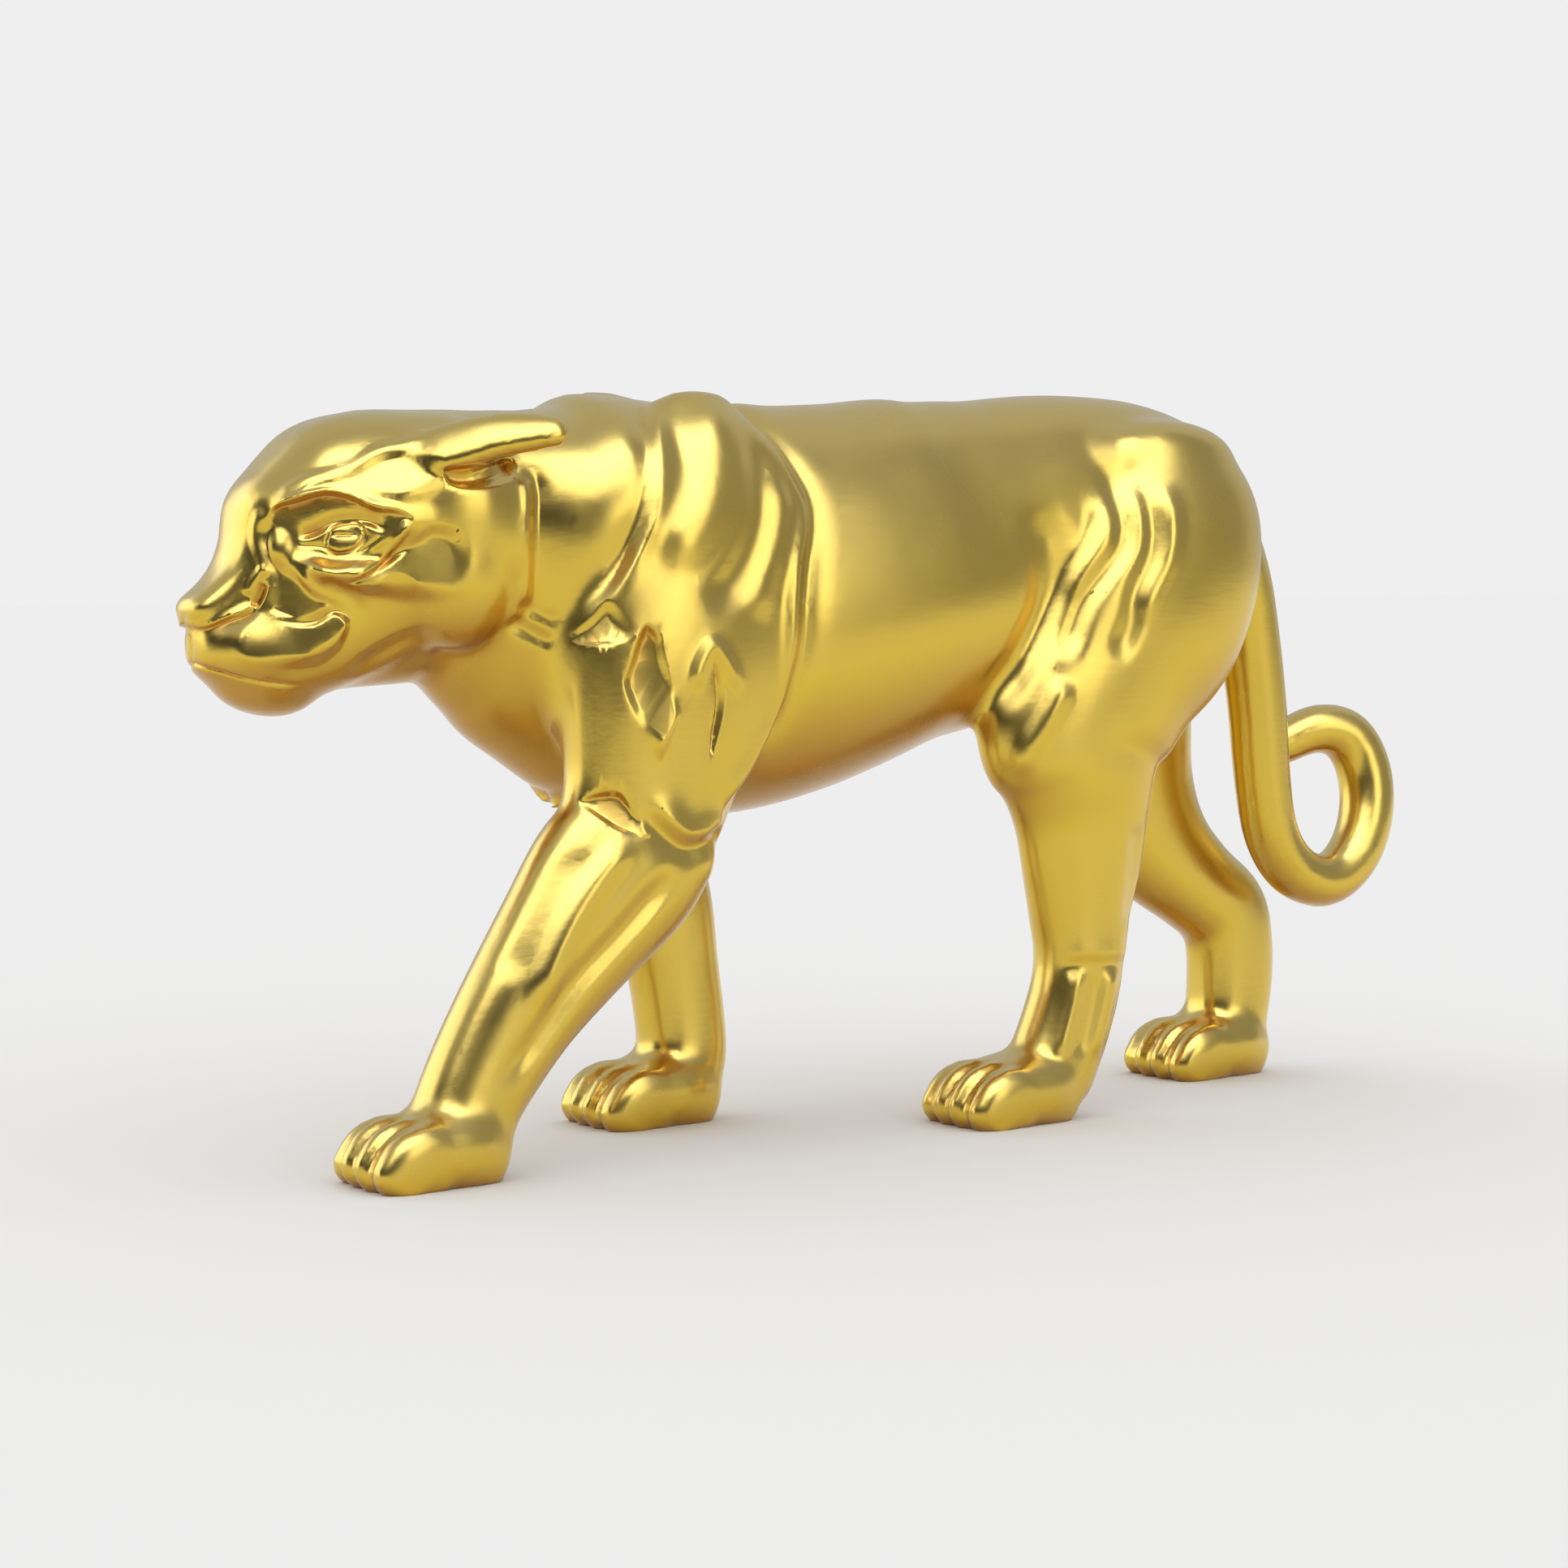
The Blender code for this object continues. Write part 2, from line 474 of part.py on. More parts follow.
def tool_head(clay):
    for side in (LEFT, RIGHT):
        def spots(*path):
            return mirrored(on_head, path, side)

        def patch(*outline):
            return [(*on_head(x, -side * y, z), edge) for x, y, z, edge in outline]

        temple = patch((-205, -23.5, 208, 3), (-197, -27.5, 210.5, 3), (-190, -31, 209.5, 3),
                       (-182, -33, 206, 4), (-174, -35, 204, 5), (-165, -37, 206, 6), (-160, -36, 212, 6),
                       (-163, -31, 220, 6), (-170, -25, 225.5, 3), (-179, -25, 219.5, 2),
                       (-187, -24, 214.5, 2), (-196, -22.5, 212, 2))
        clay.facet(temple, (-0.3, side * 0.85, 0.45), flat=0.7)
        socket = patch((-210, -14, 196, 4), (-210, -18, 203.5, 1.5), (-204, -24, 206.5, 1.4),
                       (-197, -28, 208.5, 1.4), (-190, -31, 207, 1.4), (-183, -33, 203.5, 1.4),
                       (-176, -35, 202.5, 1.6), (-171, -36.5, 200, 2), (-173, -36, 196.5, 2),
                       (-178, -35, 190.5, 2.5), (-184, -33, 186, 2.5), (-191, -31, 183, 3),
                       (-197, -28, 183, 4), (-203, -21, 186.5, 5), (-208, -15.5, 190, 5))
        clay.facet(socket, (-0.42, side * 0.9, 0.1), depth=3.6, flat=0.35)
        cheek_plane = patch((-171, -36, 193, 3), (-165, -37.5, 201, 4), (-158, -38.5, 199, 6),
                            (-156, -38, 182, 7), (-162, -35, 173, 6), (-174, -31, 173, 6),
                            (-184, -30, 178, 4), (-180, -33, 185, 3))
        clay.facet(cheek_plane, (-0.45, side * 0.89, 0.0), depth=0.8, flat=0.6)
        muzzle_side = patch((-212, -13, 196, 2), (-206, -16.5, 189, 4), (-202, -21, 184, 3),
                            (-198, -24, 178, 2.5), (-193, -25.5, 174, 2.5), (-199, -22.5, 170, 1.5),
                            (-206.5, -19, 170.5, 1.5), (-211, -16.5, 172.5, 2), (-210.5, -15.5, 181, 2),
                            (-211.5, -13, 189, 2))
        clay.facet(muzzle_side, (-0.5, side * 0.8, 0.35), depth=0.6, flat=0.7)
        whisker_pad = patch((-213, -15.5, 170.5, 1.5), (-206.5, -19, 169.5, 1.4), (-199, -22.5, 169, 1.4),
                            (-193, -25.5, 172.5, 1.6), (-188.5, -27, 169, 1.8), (-191, -26, 161, 3),
                            (-198, -22, 155, 5), (-210, -18, 155, 5), (-219, -12, 158, 5),
                            (-219, -12, 165, 4))
        clay.facet(whisker_pad, (-0.45, side * 0.89, 0.0), depth=-1.5)
        clay.refresh()

        # The brow's edge, the cheekbone's ridge and the ridges of the forehead and the muzzle
        brow = spots((-211, -13, 195), (-210.5, -18, 203.5), (-204, -24, 207.5), (-197, -28, 209),
                     (-190, -31, 208), (-183, -33, 204.5), (-176, -35, 203.5), (-170, -36.5, 200.5))
        clay.groove(brow, 3.2, -1.1, ends=(0.1, 0.15))
        cheekbone = spots((-170, -36.5, 201), (-173, -36, 197), (-177.5, -35, 191), (-184, -33, 186.5),
                          (-191, -31, 183.5), (-196, -29, 183))
        clay.groove(cheekbone, 3.0, -1.5, ends=(0.1, 0.25))
        clay.groove(spots((-173, -37, 191), (-178, -35, 184.5), (-186, -32.5, 180),
                          (-193, -30, 178)), 5.0, 1.2)
        forehead = spots((-209, -17.5, 207), (-202.5, -20.5, 210.5), (-194, -23, 212.5), (-186, -25, 215),
                         (-178, -26, 220), (-170, -26, 226), (-158, -30, 230))
        clay.groove(forehead, 4.0, -1.0, ends=(0.1, 0.3))
        muzzle = spots((-209.5, -15.5, 182), (-211.5, -13.5, 190), (-212, -12.5, 197), (-210.5, -15, 204))
        clay.groove(muzzle, 3.5, -0.9)
        # Creases round the whisker pad
        pad_rim = spots((-203, -21, 186), (-201, -23, 181), (-197.5, -24.5, 177.5), (-192, -26.5, 174.5),
                        (-188.5, -27.5, 171), (-190.5, -27, 165))
        clay.groove(pad_rim, 2.6, -1.1)
        behind_pad = spots((-199, -27, 182), (-194, -28, 178.5), (-188.5, -28.5, 176),
                           (-185.5, -28.5, 172), (-186.5, -27.5, 166), (-190, -25.5, 159))
        clay.groove(behind_pad, 4.0, 1.9, ends=(0.2, 0.3))
        # Inner corner of the eye, and the eyeball
        clay.swell(spots((-205.5, -16.5, 195.5))[0], (5, 5, 7), 1.4)
        clay.swell(spots((-173, -25, 225.5))[0], (12, 9, 8), 1.6)
        clay.swell(spots((-190.5, -29, 195.5))[0], (13, 8, 7.5), 2.8)
        # Lids, the nose's leather with its nostril, and the mouth
        upper_lid = spots((-204, -21, 195.5), (-199, -25, 198.5), (-193, -29, 200.6), (-187, -32, 199.5),
                          (-182, -33.5, 196.5))
        clay.groove(upper_lid, 2.8, 1.5, sharp=True)
        lower_lid = spots((-204, -21, 195.5), (-198, -26, 192.5), (-191.5, -30, 191), (-186, -32, 192.5),
                          (-182, -33.5, 196.5))
        clay.groove(lower_lid, 2.8, 1.1, sharp=True)
        leather = spots((-231, 2, 170.5), (-228, -4, 167.5), (-223, -9.5, 169.2), (-217, -13.5, 171.6),
                        (-213, -15.5, 175))
        clay.lip(leather, 1.3, 1.3, 3.0, edge=1.6, side=-side, ends=(0.05, 0.2))
        clay.groove(spots((-213, -14.5, 174.5), (-213, -15, 178.5), (-210.5, -15.5, 182.5)), 3.0, 2.0)
        mouth = spots((-228, -1, 156), (-224, -7, 154), (-215, -14, 151.5), (-204, -17, 149.5),
                      (-196, -18, 149.5), (-188, -18, 153))
        clay.groove(mouth, 3.0, 1.4, sharp=True, ends=(0.01, 0.3))
        # Jaw, rear edge of the cheek over the neck, and the pocket under the ear
        clay.groove(spots((-186, -15, 152), (-177, -21, 158), (-167, -26, 162.5),
                          (-158, -29, 164)), 6.0, 1.3, ends=(0.3, 0.3))
        cheek = spots((-132, -36, 218), (-131, -37, 209), (-131.5, -38, 200), (-131.5, -37, 185),
                      (-132, -33, 173), (-139, -27, 165))
        clay.lip(cheek, 2.8, 2.2, 6.0, side=side, ends=(0.15, 0.3))
        clay.groove(spots((-136, -34, 174), (-130, -34, 172), (-122, -37, 168)), 4.0, 1.2)
        clay.groove(spots((-137, -31, 169), (-131, -31, 166), (-123, -35, 161)), 4.0, 1.2)
        pocket = patch((-162, -38, 215.5, 2), (-154, -40, 217, 1.5), (-146, -40, 217.5, 1.5),
                       (-137, -40, 219, 2), (-136, -38, 213, 4), (-145, -37, 209, 4),
                       (-154, -37, 208.5, 3), (-160, -38, 210.5, 2))
        clay.facet(pocket, (-0.2, side * 0.98, 0.0), depth=3.5)
        clay.refresh()
    crown = [(-210, 0, 206), (-203, 0, 216), (-190, 0, 228), (-172, 0, 234)]
    clay.groove([on_head(*spot) for spot in crown], 11.0, 0.7)
    lip_cleft = [(-232, 0, 167), (-230, 0, 161), (-228.5, 0, 155)]
    clay.groove([on_head(*spot) for spot in lip_cleft], 3.0, 1.1, sharp=True)
    clay.refresh()


def tool_shoulders(clay):
    for side, shift in ((LEFT, 0.0), (RIGHT, 3.0)):
        def spots(*path):
            return mirrored(on_body, path, side, shift)

        front = spots((-76, -12, 239), (-86, -28, 230), (-91, -37, 215), (-95, -42, 202),
                      (-101, -44, 190), (-108, -44, 178), (-115, -42, 170), (-121, -39, 162))
        clay.lip(front, 2.4, 2.0, 7.0, side=-side, ends=(0.25, 0.12))
        clay.swell(spots((-109, -46, 168))[0], (12, 12, 9), -1.8)
        rear = spots((-47, -16, 237), (-42, -28, 230), (-38, -36, 219), (-35, -43, 208), (-36, -46, 198),
                     (-39, -47, 187), (-41, -48, 175), (-42, -47, 162), (-44, -45, 152), (-48, -43, 139),
                     (-56, -44, 126), (-65, -46, 115), (-73, -47, 106))
        clay.lip(rear, 2.6, 2.2, 6.0, side=side, ends=(0.12, 0.1))
        # Muscle bands over the shoulder blade
        clay.groove(spots((-64, -22, 238), (-67, -36, 225), (-70, -45, 208), (-80, -49, 193),
                          (-95, -50, 180)), 12.0, -1.8)
        clay.groove(spots((-54, -30, 229), (-53, -41, 214), (-56, -47, 198), (-66, -51, 182),
                          (-80, -53, 168)), 9.5, 1.8)
        clay.groove(spots((-44, -38, 214), (-46, -46, 200), (-52, -50, 184), (-60, -53, 168)), 8.0, -1.2)
        # Slit behind the upper arm, with a ridge before it
        clay.groove(spots((-66, -52, 157), (-70, -53, 148), (-74, -53, 138), (-76, -53, 128)), 5.5, 2.8)
        clay.groove(spots((-75, -53, 160), (-79, -53, 148), (-82, -53, 136), (-83, -52, 124)), 7.0, -1.5)


def tool_thighs(clay):
    for side, shift in ((LEFT, 0.0), (RIGHT, 6.0)):
        def spots(*path):
            return mirrored(on_body, path, side, shift)

        flank = spots((53, -39, 214), (56, -40, 201), (58, -40, 189), (57, -38, 177), (54, -37, 165),
                      (50, -35, 154), (45, -34, 144), (38, -33, 137))
        clay.groove(flank, 16.0, 2.6)
        front_fold = spots((83, -31, 225), (87, -36, 214), (89, -42, 203), (88, -45, 194), (82, -46, 184),
                           (75, -46, 177), (70, -46, 167), (66, -46, 158), (64, -46, 150))
        clay.lip(front_fold, 1.6, 2.4, 5.0, side=side, ends=(0.2, 0.1))
        rear_fold = spots((93, -32, 225), (101, -41, 213), (104, -47, 200), (101, -49, 189),
                          (92, -50, 178), (86, -50, 166), (81, -50, 155), (77, -49, 145))
        clay.groove(rear_fold, 8.0, 2.0)
        muscle = spots((90, -34, 221), (95, -42, 209), (96, -47, 198), (93, -49, 188), (84, -50, 178),
                       (78, -50, 166), (74, -49, 154))
        clay.groove(muscle, 6.5, -1.6)
        stifle = spots((64, -45, 150), (60, -45, 141), (55, -43, 132), (50, -42, 124), (49, -40, 114))
        clay.groove(stifle, 6.5, -1.8)
        clay.swell(spots((94, -32, 226))[0], (14, 12, 12), 1.5)


def on_limb(rows, side, marks):
    """Places on a limb's outer face from sheet height and share across it, -1 in front and 1 behind."""
    real = sorted(limb_rows(rows), key=lambda row: row[2])
    heights = [row[2] for row in real]
    places = []
    for height, share in marks:
        z = height * BACK_HEIGHT / SHEET_BACK
        x, y, half_width, half_out = (np.interp(z, heights, [row[k] for row in real]) for k in (0, 1, 3, 4))
        bulge = (1 - abs(share) ** 2.2) ** (1 / 2.2)
        places.append((x + share * half_width, side * (y + half_out * bulge), z))
    return places


def tool_legs(clay):
    for rows, side in ((LEFT_FOREARM, LEFT), (RIGHT_FOREARM, RIGHT)):
        # The upper arm ends in a lip over the forearm
        sleeve = [(113, -1.0), (114, -0.7), (113, -0.45), (109, -0.2), (104, 0.1), (101, 0.35),
                  (101, 0.6), (106, 0.9)]
        clay.lip(on_limb(rows, side, sleeve), 2.0, 2.2, 6.0, side=-side, ends=(0.1, 0.1))
        clay.groove(on_limb(rows, side, [(104, -0.35), (92, -0.45), (78, -0.42), (62, -0.25),
                                         (50, -0.05)]), 7.0, -2.0)
        clay.groove(on_limb(rows, side, [(100, -0.8), (88, -0.85), (74, -0.8), (58, -0.7)]), 8.0, 1.0)
        tendon = [(94, 0.55), (84, 0.45), (72, 0.4), (60, 0.3), (49, 0.3), (38, 0.25), (26, 0.15)]
        clay.groove(on_limb(rows, side, tendon), 6.4, 2.2)
        clay.swell(on_limb(rows, side, [(95, 0.85)])[0], (9, 9, 12), 1.5)
    for rows, side in ((LEFT_HIND, LEFT), (RIGHT_HIND, RIGHT)):
        clay.lip(on_limb(rows, side, [(53, -0.9), (54, -0.5), (54, 0), (53.5, 0.5),
                                      (53, 0.95)]), 0.8, 1.3, 4.0, edge=2.0, side=-side, ends=(0.1, 0.1))
        for share, depth in ((-0.55, -1.3), (0.38, -1.3), (-0.08, 1.0)):
            marks = [(52, share), (42, share), (30, share + 0.05), (20, share + 0.1)]
            clay.groove(on_limb(rows, side, marks), 5.2, depth)
        clay.groove(on_limb(rows, side, [(100, 0.6), (88, 0.65), (74, 0.7), (62, 0.75)]), 8.0, 1.2)


def tool_paws(clay):
    """A cleft between each two toes, from the instep over the front down to the floor."""
    for paw in PAWS:
        for first, second in zip(TOE_SHARES, TOE_SHARES[1:]):
            aside = (first + second) / 2
            reach = 0.036 if abs(aside) < 0.1 else 0.018
            shares = [(0.07, 0.92), (0.22, 0.9), (0.335 + reach, 0.68), (0.445 + reach, 0.35),
                      (0.465 + reach, 0.04)]
            path = [paw_spot(paw, ahead, aside, up) for ahead, up in shares]
            clay.groove(path, 4.2, 1.8, sharp=True, ends=(0.3, 0.02))


def thin_out(mesh, facets):
    """Collapses the skin to the given number of triangles."""
    obj = bpy.data.objects.new("dense", mesh)
    bpy.context.scene.collection.objects.link(obj)
    thin = obj.modifiers.new("thin", "DECIMATE")
    thin.ratio = facets / (2 * len(mesh.polygons))
    thin.use_collapse_triangulate = True
    result = bpy.data.meshes.new_from_object(obj.evaluated_get(bpy.context.evaluated_depsgraph_get()))
    bpy.data.objects.remove(obj)
    return result


def stand(mesh):
    """Cuts the soles flat on the floor and centres the box over the origin."""
    spots = np.empty(len(mesh.vertices) * 3)
    mesh.vertices.foreach_get("co", spots)
    spots = spots.reshape(-1, 3)
    spots[:, 2] = np.where(spots[:, 2] < SOLE_CUT * MM, 0.0, spots[:, 2])
    spots[:, :2] -= (spots[:, :2].min(axis=0) + spots[:, :2].max(axis=0)) / 2
    mesh.vertices.foreach_set("co", spots.ravel())
    mesh.update()


def gold_steel():
    material = bpy.data.materials.new("gold_plated_steel")
    material.use_nodes = True
    shader = material.node_tree.nodes["Principled BSDF"]
    shader.inputs["Base Color"].default_value = (0.88, 0.62, 0.16, 1.0)
    shader.inputs["Metallic"].default_value = 1.0
    shader.inputs["Roughness"].default_value = 0.22
    return material


def build_panther():
    large = trunk() + limbs() + head() + tail() + [paw_pad(paw) for paw in PAWS]
    body = fuse(large, COARSE_VOXEL, 10)
    small = ears() + [toe for paw in PAWS for toe in toes(paw)]
    skin = fuse([body] + small, VOXEL, 3)
    clay = Clay(skin)
    clay.spots[:, 2] = np.maximum(clay.spots[:, 2], 0.0)
    clay.refresh()
    for tool in (tool_head, tool_shoulders, tool_thighs, tool_legs, tool_paws):
        tool(clay)
        clay.refresh()
    clay.spots[:, 2] = np.maximum(clay.spots[:, 2], 0.0)
    clay.refresh()
    mesh = thin_out(fuse([clay.mesh], VOXEL, 1), FACETS)
    stand(mesh)
    mesh.name = "panther"
    mesh.materials.append(gold_steel())
    panther = bpy.data.objects.new("panther", mesh)
    bpy.context.scene.collection.objects.link(panther)


for leftover in list(bpy.data.objects):
    bpy.data.objects.remove(leftover)
build_panther()
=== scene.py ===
import json
import math

import bmesh
import bpy
import numpy as np
from mathutils import Euler, Matrix, Vector

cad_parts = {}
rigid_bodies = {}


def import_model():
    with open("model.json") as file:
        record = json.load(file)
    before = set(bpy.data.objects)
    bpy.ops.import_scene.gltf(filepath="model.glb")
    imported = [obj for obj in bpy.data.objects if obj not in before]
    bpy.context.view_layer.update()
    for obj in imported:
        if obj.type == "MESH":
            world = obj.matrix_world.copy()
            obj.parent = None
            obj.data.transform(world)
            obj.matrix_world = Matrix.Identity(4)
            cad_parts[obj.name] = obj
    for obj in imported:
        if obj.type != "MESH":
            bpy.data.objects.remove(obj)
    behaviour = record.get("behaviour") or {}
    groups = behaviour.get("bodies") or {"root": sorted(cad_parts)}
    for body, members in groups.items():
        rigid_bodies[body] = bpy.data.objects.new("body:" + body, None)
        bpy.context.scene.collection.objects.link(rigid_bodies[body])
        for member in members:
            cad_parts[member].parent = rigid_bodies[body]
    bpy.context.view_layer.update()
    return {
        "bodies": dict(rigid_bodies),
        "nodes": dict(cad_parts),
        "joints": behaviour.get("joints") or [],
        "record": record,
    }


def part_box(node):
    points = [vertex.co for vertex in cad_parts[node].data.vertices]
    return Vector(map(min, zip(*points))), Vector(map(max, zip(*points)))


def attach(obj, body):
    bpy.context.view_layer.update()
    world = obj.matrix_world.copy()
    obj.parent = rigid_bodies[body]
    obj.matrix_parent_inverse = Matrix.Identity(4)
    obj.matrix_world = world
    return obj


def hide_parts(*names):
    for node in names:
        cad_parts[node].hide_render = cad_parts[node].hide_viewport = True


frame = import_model()
low_corner, high_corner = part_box("panther")

# The trunk. The real panther is one hollow steel casting, gold-plated and polished all over.
# Like the sculptor's clay, it is built up here from fat masses, drawn in millimetres on a sheet with the
# head at -X and the animal's left side at -Y, then fused into one skin and tooled.
MM = 0.001
LEFT, RIGHT = -1, 1
masses = []
# Rings in each rounded end of a mass. The last stops just short of a quarter turn, so it is no point.
END_RINGS, END_PARTS = 8, 8.3


def read(items, field, columns, kind=float):
    """One field of a mesh's vertices or edges, as rows of numbers."""
    values = np.empty(len(items) * columns, dtype=kind)
    items.foreach_get(field, values)
    return values.reshape(-1, columns)


def smooth_rows(rows, per_span=10):
    """A smooth curve through rows of numbers, the first three of which are a place."""
    rows = np.array(rows, float)
    gaps = np.sqrt(np.maximum(np.linalg.norm(np.diff(rows[:, :3], axis=0), axis=1), 1e-6))
    along = np.concatenate([[0.0], np.cumsum(gaps)])
    slopes = np.empty_like(rows)
    slopes[1:-1] = (rows[2:] - rows[:-2]) / (along[2:] - along[:-2])[:, None]
    slopes[0] = (rows[1] - rows[0]) / gaps[0]
    slopes[-1] = (rows[-1] - rows[-2]) / gaps[-1]
    curve = []
    for k, gap in enumerate(gaps):
        for u in np.arange(per_span) / per_span:
            start = (2 * u**3 - 3 * u**2 + 1) * rows[k] + (u**3 - 2 * u**2 + u) * gap * slopes[k]
            end = (3 * u**2 - 2 * u**3) * rows[k + 1] + (u**3 - u**2) * gap * slopes[k + 1]
            curve.append(start + end)
    curve.append(rows[-1])
    return np.array(curve)


def section(sides, half_width, half_out, half_in, power, taper):
    """A rounded section: power 2 is an ellipse, more is squarer; a taper above 0 is wider outward."""
    turn = np.arange(sides) * math.tau / sides
    cosine, sine = np.cos(turn), np.sin(turn)
    out = np.sign(sine) * np.abs(sine) ** (2 / power)
    across = np.sign(cosine) * np.abs(cosine) ** (2 / power) * half_width * (1 + taper * out)
    return np.stack([across, out * np.where(out > 0, half_out, half_in)], axis=1)


def loft(stations, across, outward, sides=64, ends=(0.5, 0.5)):
    """Adds a closed mass through stations of place, half width, half out, half in, power and taper."""
    rows = smooth_rows([tuple(row) + (0.0,) * (8 - len(row)) for row in stations])
    middle = rows[:, :3]
    along = np.gradient(middle, axis=0)
    along /= np.linalg.norm(along, axis=1)[:, None]
    side = np.array(across, float) - along * (along @ np.array(across, float))[:, None]
    side /= np.linalg.norm(side, axis=1)[:, None]
    out = np.cross(along, side)
    if (out @ np.array(outward, float)).sum() < 0:
        out = -out

    def ring(k, shrink, shift):
        spots = section(sides, *(rows[k, 3:6] * shrink), rows[k, 6], rows[k, 7])
        return middle[k] + along[k] * shift + side[k] * spots[:, :1] + out[k] * spots[:, 1:]

    turns = [step / END_PARTS * math.pi / 2 for step in range(1, END_RINGS + 1)]
    first, last = ends[0] * rows[0, 3:6].mean(), ends[1] * rows[-1, 3:6].mean()
    rings = [ring(0, math.cos(turn), -first * math.sin(turn)) for turn in reversed(turns)]
    rings += [ring(k, 1.0, 0.0) for k in range(len(rows))]
    rings += [ring(-1, math.cos(turn), last * math.sin(turn)) for turn in turns]

    bm = bmesh.new()
    loops = [[bm.verts.new(Vector(spot) * MM) for spot in spots] for spots in rings]
    for low, high in zip(loops, loops[1:]):
        for k in range(sides):
            nxt = (k + 1) % sides
            bm.faces.new((low[k], low[nxt], high[nxt], high[k]))
    bm.faces.new(loops[0])
    bm.faces.new(loops[-1])
    bmesh.ops.recalc_face_normals(bm, faces=bm.faces)
    mesh = bpy.data.meshes.new("mass")
    bm.to_mesh(mesh)
    bm.free()
    masses.append(bpy.data.objects.new("mass", mesh))
    bpy.context.scene.collection.objects.link(masses[-1])


def slab(x, top, bottom, half_width, middle=0.56, power=2.1, taper=0.0):
    """A station of the trunk or the head from its top line and bottom line."""
    centre = bottom + (top - bottom) * middle
    return (x, 0.0, centre, half_width, top - centre, centre - bottom, power, taper)


TRUNK = [slab(-160, 233, 153, 24, 0.52, 2.1, 0.15),
         slab(-150, 234.5, 151, 29, 0.54, 2.1, 0.25),
         slab(-138, 236, 146, 33, 0.53, 2.1, 0.22),
         slab(-126, 237.5, 136.5, 36.5, 0.53, 2.1, 0.22),
         slab(-115, 239, 125.5, 39.5, 0.54, 2.1, 0.22),
         slab(-104, 240.2, 115, 42, 0.56, 2.1, 0.2),
         slab(-93, 240.5, 107, 44, 0.58, 2.1, 0.22),
         slab(-78, 240.5, 103, 45.5, 0.56, 2.1, 0.1), slab(-63, 240, 101.5, 46, 0.52),
         slab(-46, 239.3, 104, 46.5, 0.48, 2.1, -0.05), slab(-24, 239, 109, 47, 0.47, 2.1, -0.06),
         slab(0, 240, 117, 46.5, 0.47, 2.1, -0.06), slab(20, 241.6, 124.5, 45, 0.47, 2.1, -0.06),
         slab(38, 242.8, 128.5, 42, 0.48, 2.1, -0.05), slab(58, 243.6, 131.5, 39, 0.52),
         slab(80, 244, 137, 37.5), slab(102, 243.7, 144, 37), slab(122, 241.5, 148, 35.5),
         slab(138, 236, 153, 32), slab(151, 227.5, 159, 27), slab(160, 217, 167, 19),
         slab(165, 208, 176, 12)]
loft(TRUNK, (0, 1, 0), (0, 0, 1), sides=96, ends=(0.5, 0.3))

# The four legs. The left foreleg strides ahead, the left hind leg is drawn in under the belly, and the
# right hind leg trails. Each is cast in one with the body and melts into the trunk at shoulder or thigh.
# Columns: place (y is the distance from the middle), half width, half out, half in, power.
LEFT_SHOULDER = [(-66, 24, 235, 15, 6, 14, 2), (-66, 30, 222, 23, 9.5, 20, 2),
                 (-66, 33, 203, 29.5, 13, 22, 2.2), (-73, 35, 182, 34.5, 14.5, 22, 2.2),
                 (-80, 36.5, 160, 38, 15.5, 22, 2.2), (-85.5, 37, 140, 36.5, 15.5, 20, 2.2),
                 (-90, 37, 122, 32, 15, 18, 2.2), (-93, 37, 106, 27, 15, 15, 2.1)]
RIGHT_SHOULDER = [(-72, 24, 234.5, 20, 6, 14, 2), (-73, 29, 221, 25, 9.5, 20, 2),
                  (-71, 33, 203, 29, 13, 22, 2.2), (-72, 35, 182, 32, 14, 22, 2.2),
                  (-71, 36, 160, 31, 14, 22, 2.2), (-66, 36, 140, 28, 13.5, 20, 2.2),
                  (-60, 36, 122, 25, 13, 18, 2.2), (-56, 36, 106, 23.5, 14, 15, 2.1)]
LEFT_FOREARM = [(-91, 37, 110, 25.5, 13.5, 13, 2.1), (-97.5, 38, 98, 28, 15, 14, 2.1),
                (-110, 39, 85, 27.3, 15, 14, 2.2), (-122.6, 40, 71, 24, 14.5, 13.5, 2.3),
                (-137.8, 41, 53, 20.5, 13.5, 13, 2.3), (-149.5, 41.5, 36.5, 18.4, 13, 12.5, 2.3),
                (-157.5, 42, 23, 17, 13, 12.5, 2.3), (-160.5, 42, 14, 17, 13.5, 13, 2.2)]
RIGHT_FOREARM = [(-58, 36, 114, 25, 13, 13, 2.1), (-55, 36, 100, 23, 14.5, 13.5, 2.1),
                 (-49.5, 35.5, 85, 20.5, 14, 13, 2.2), (-44, 35, 68, 18, 13.2, 12.5, 2.3),
                 (-41, 34.5, 52, 16.2, 12.8, 12, 2.3), (-38.8, 34, 37, 15.8, 12.8, 12, 2.3),
                 (-38, 33.5, 23, 15.6, 13, 12.5, 2.3), (-40.5, 33, 14, 15.6, 13.5, 13, 2.2)]
LEFT_HIND = [(120, 21, 222, 30, 18, 20, 2), (118.5, 24, 200, 41, 23, 22, 2),
             (107, 26, 174, 44.5, 23.5, 22, 2.1), (90.5, 27, 152, 40, 22, 20, 2.1),
             (77.5, 28.5, 130, 37.5, 20, 16, 2.1), (79.5, 30, 115, 31, 17.5, 14, 2.1),
             (81, 30, 100, 26.2, 15, 13.5, 2.1), (81, 30, 82, 22.3, 13.8, 13, 2.2),
             (80.6, 30, 67, 18.7, 13, 12.5, 2.3), (80.5, 30, 56, 16.4, 13, 12.5, 2.3),
             (79, 30, 44, 15.8, 12.8, 12.5, 2.3), (75.2, 30, 32, 16, 12.8, 12.5, 2.3),
             (70.2, 30, 20, 16, 13, 12.5, 2.3), (67, 30, 13, 16, 13.5, 13, 2.2)]
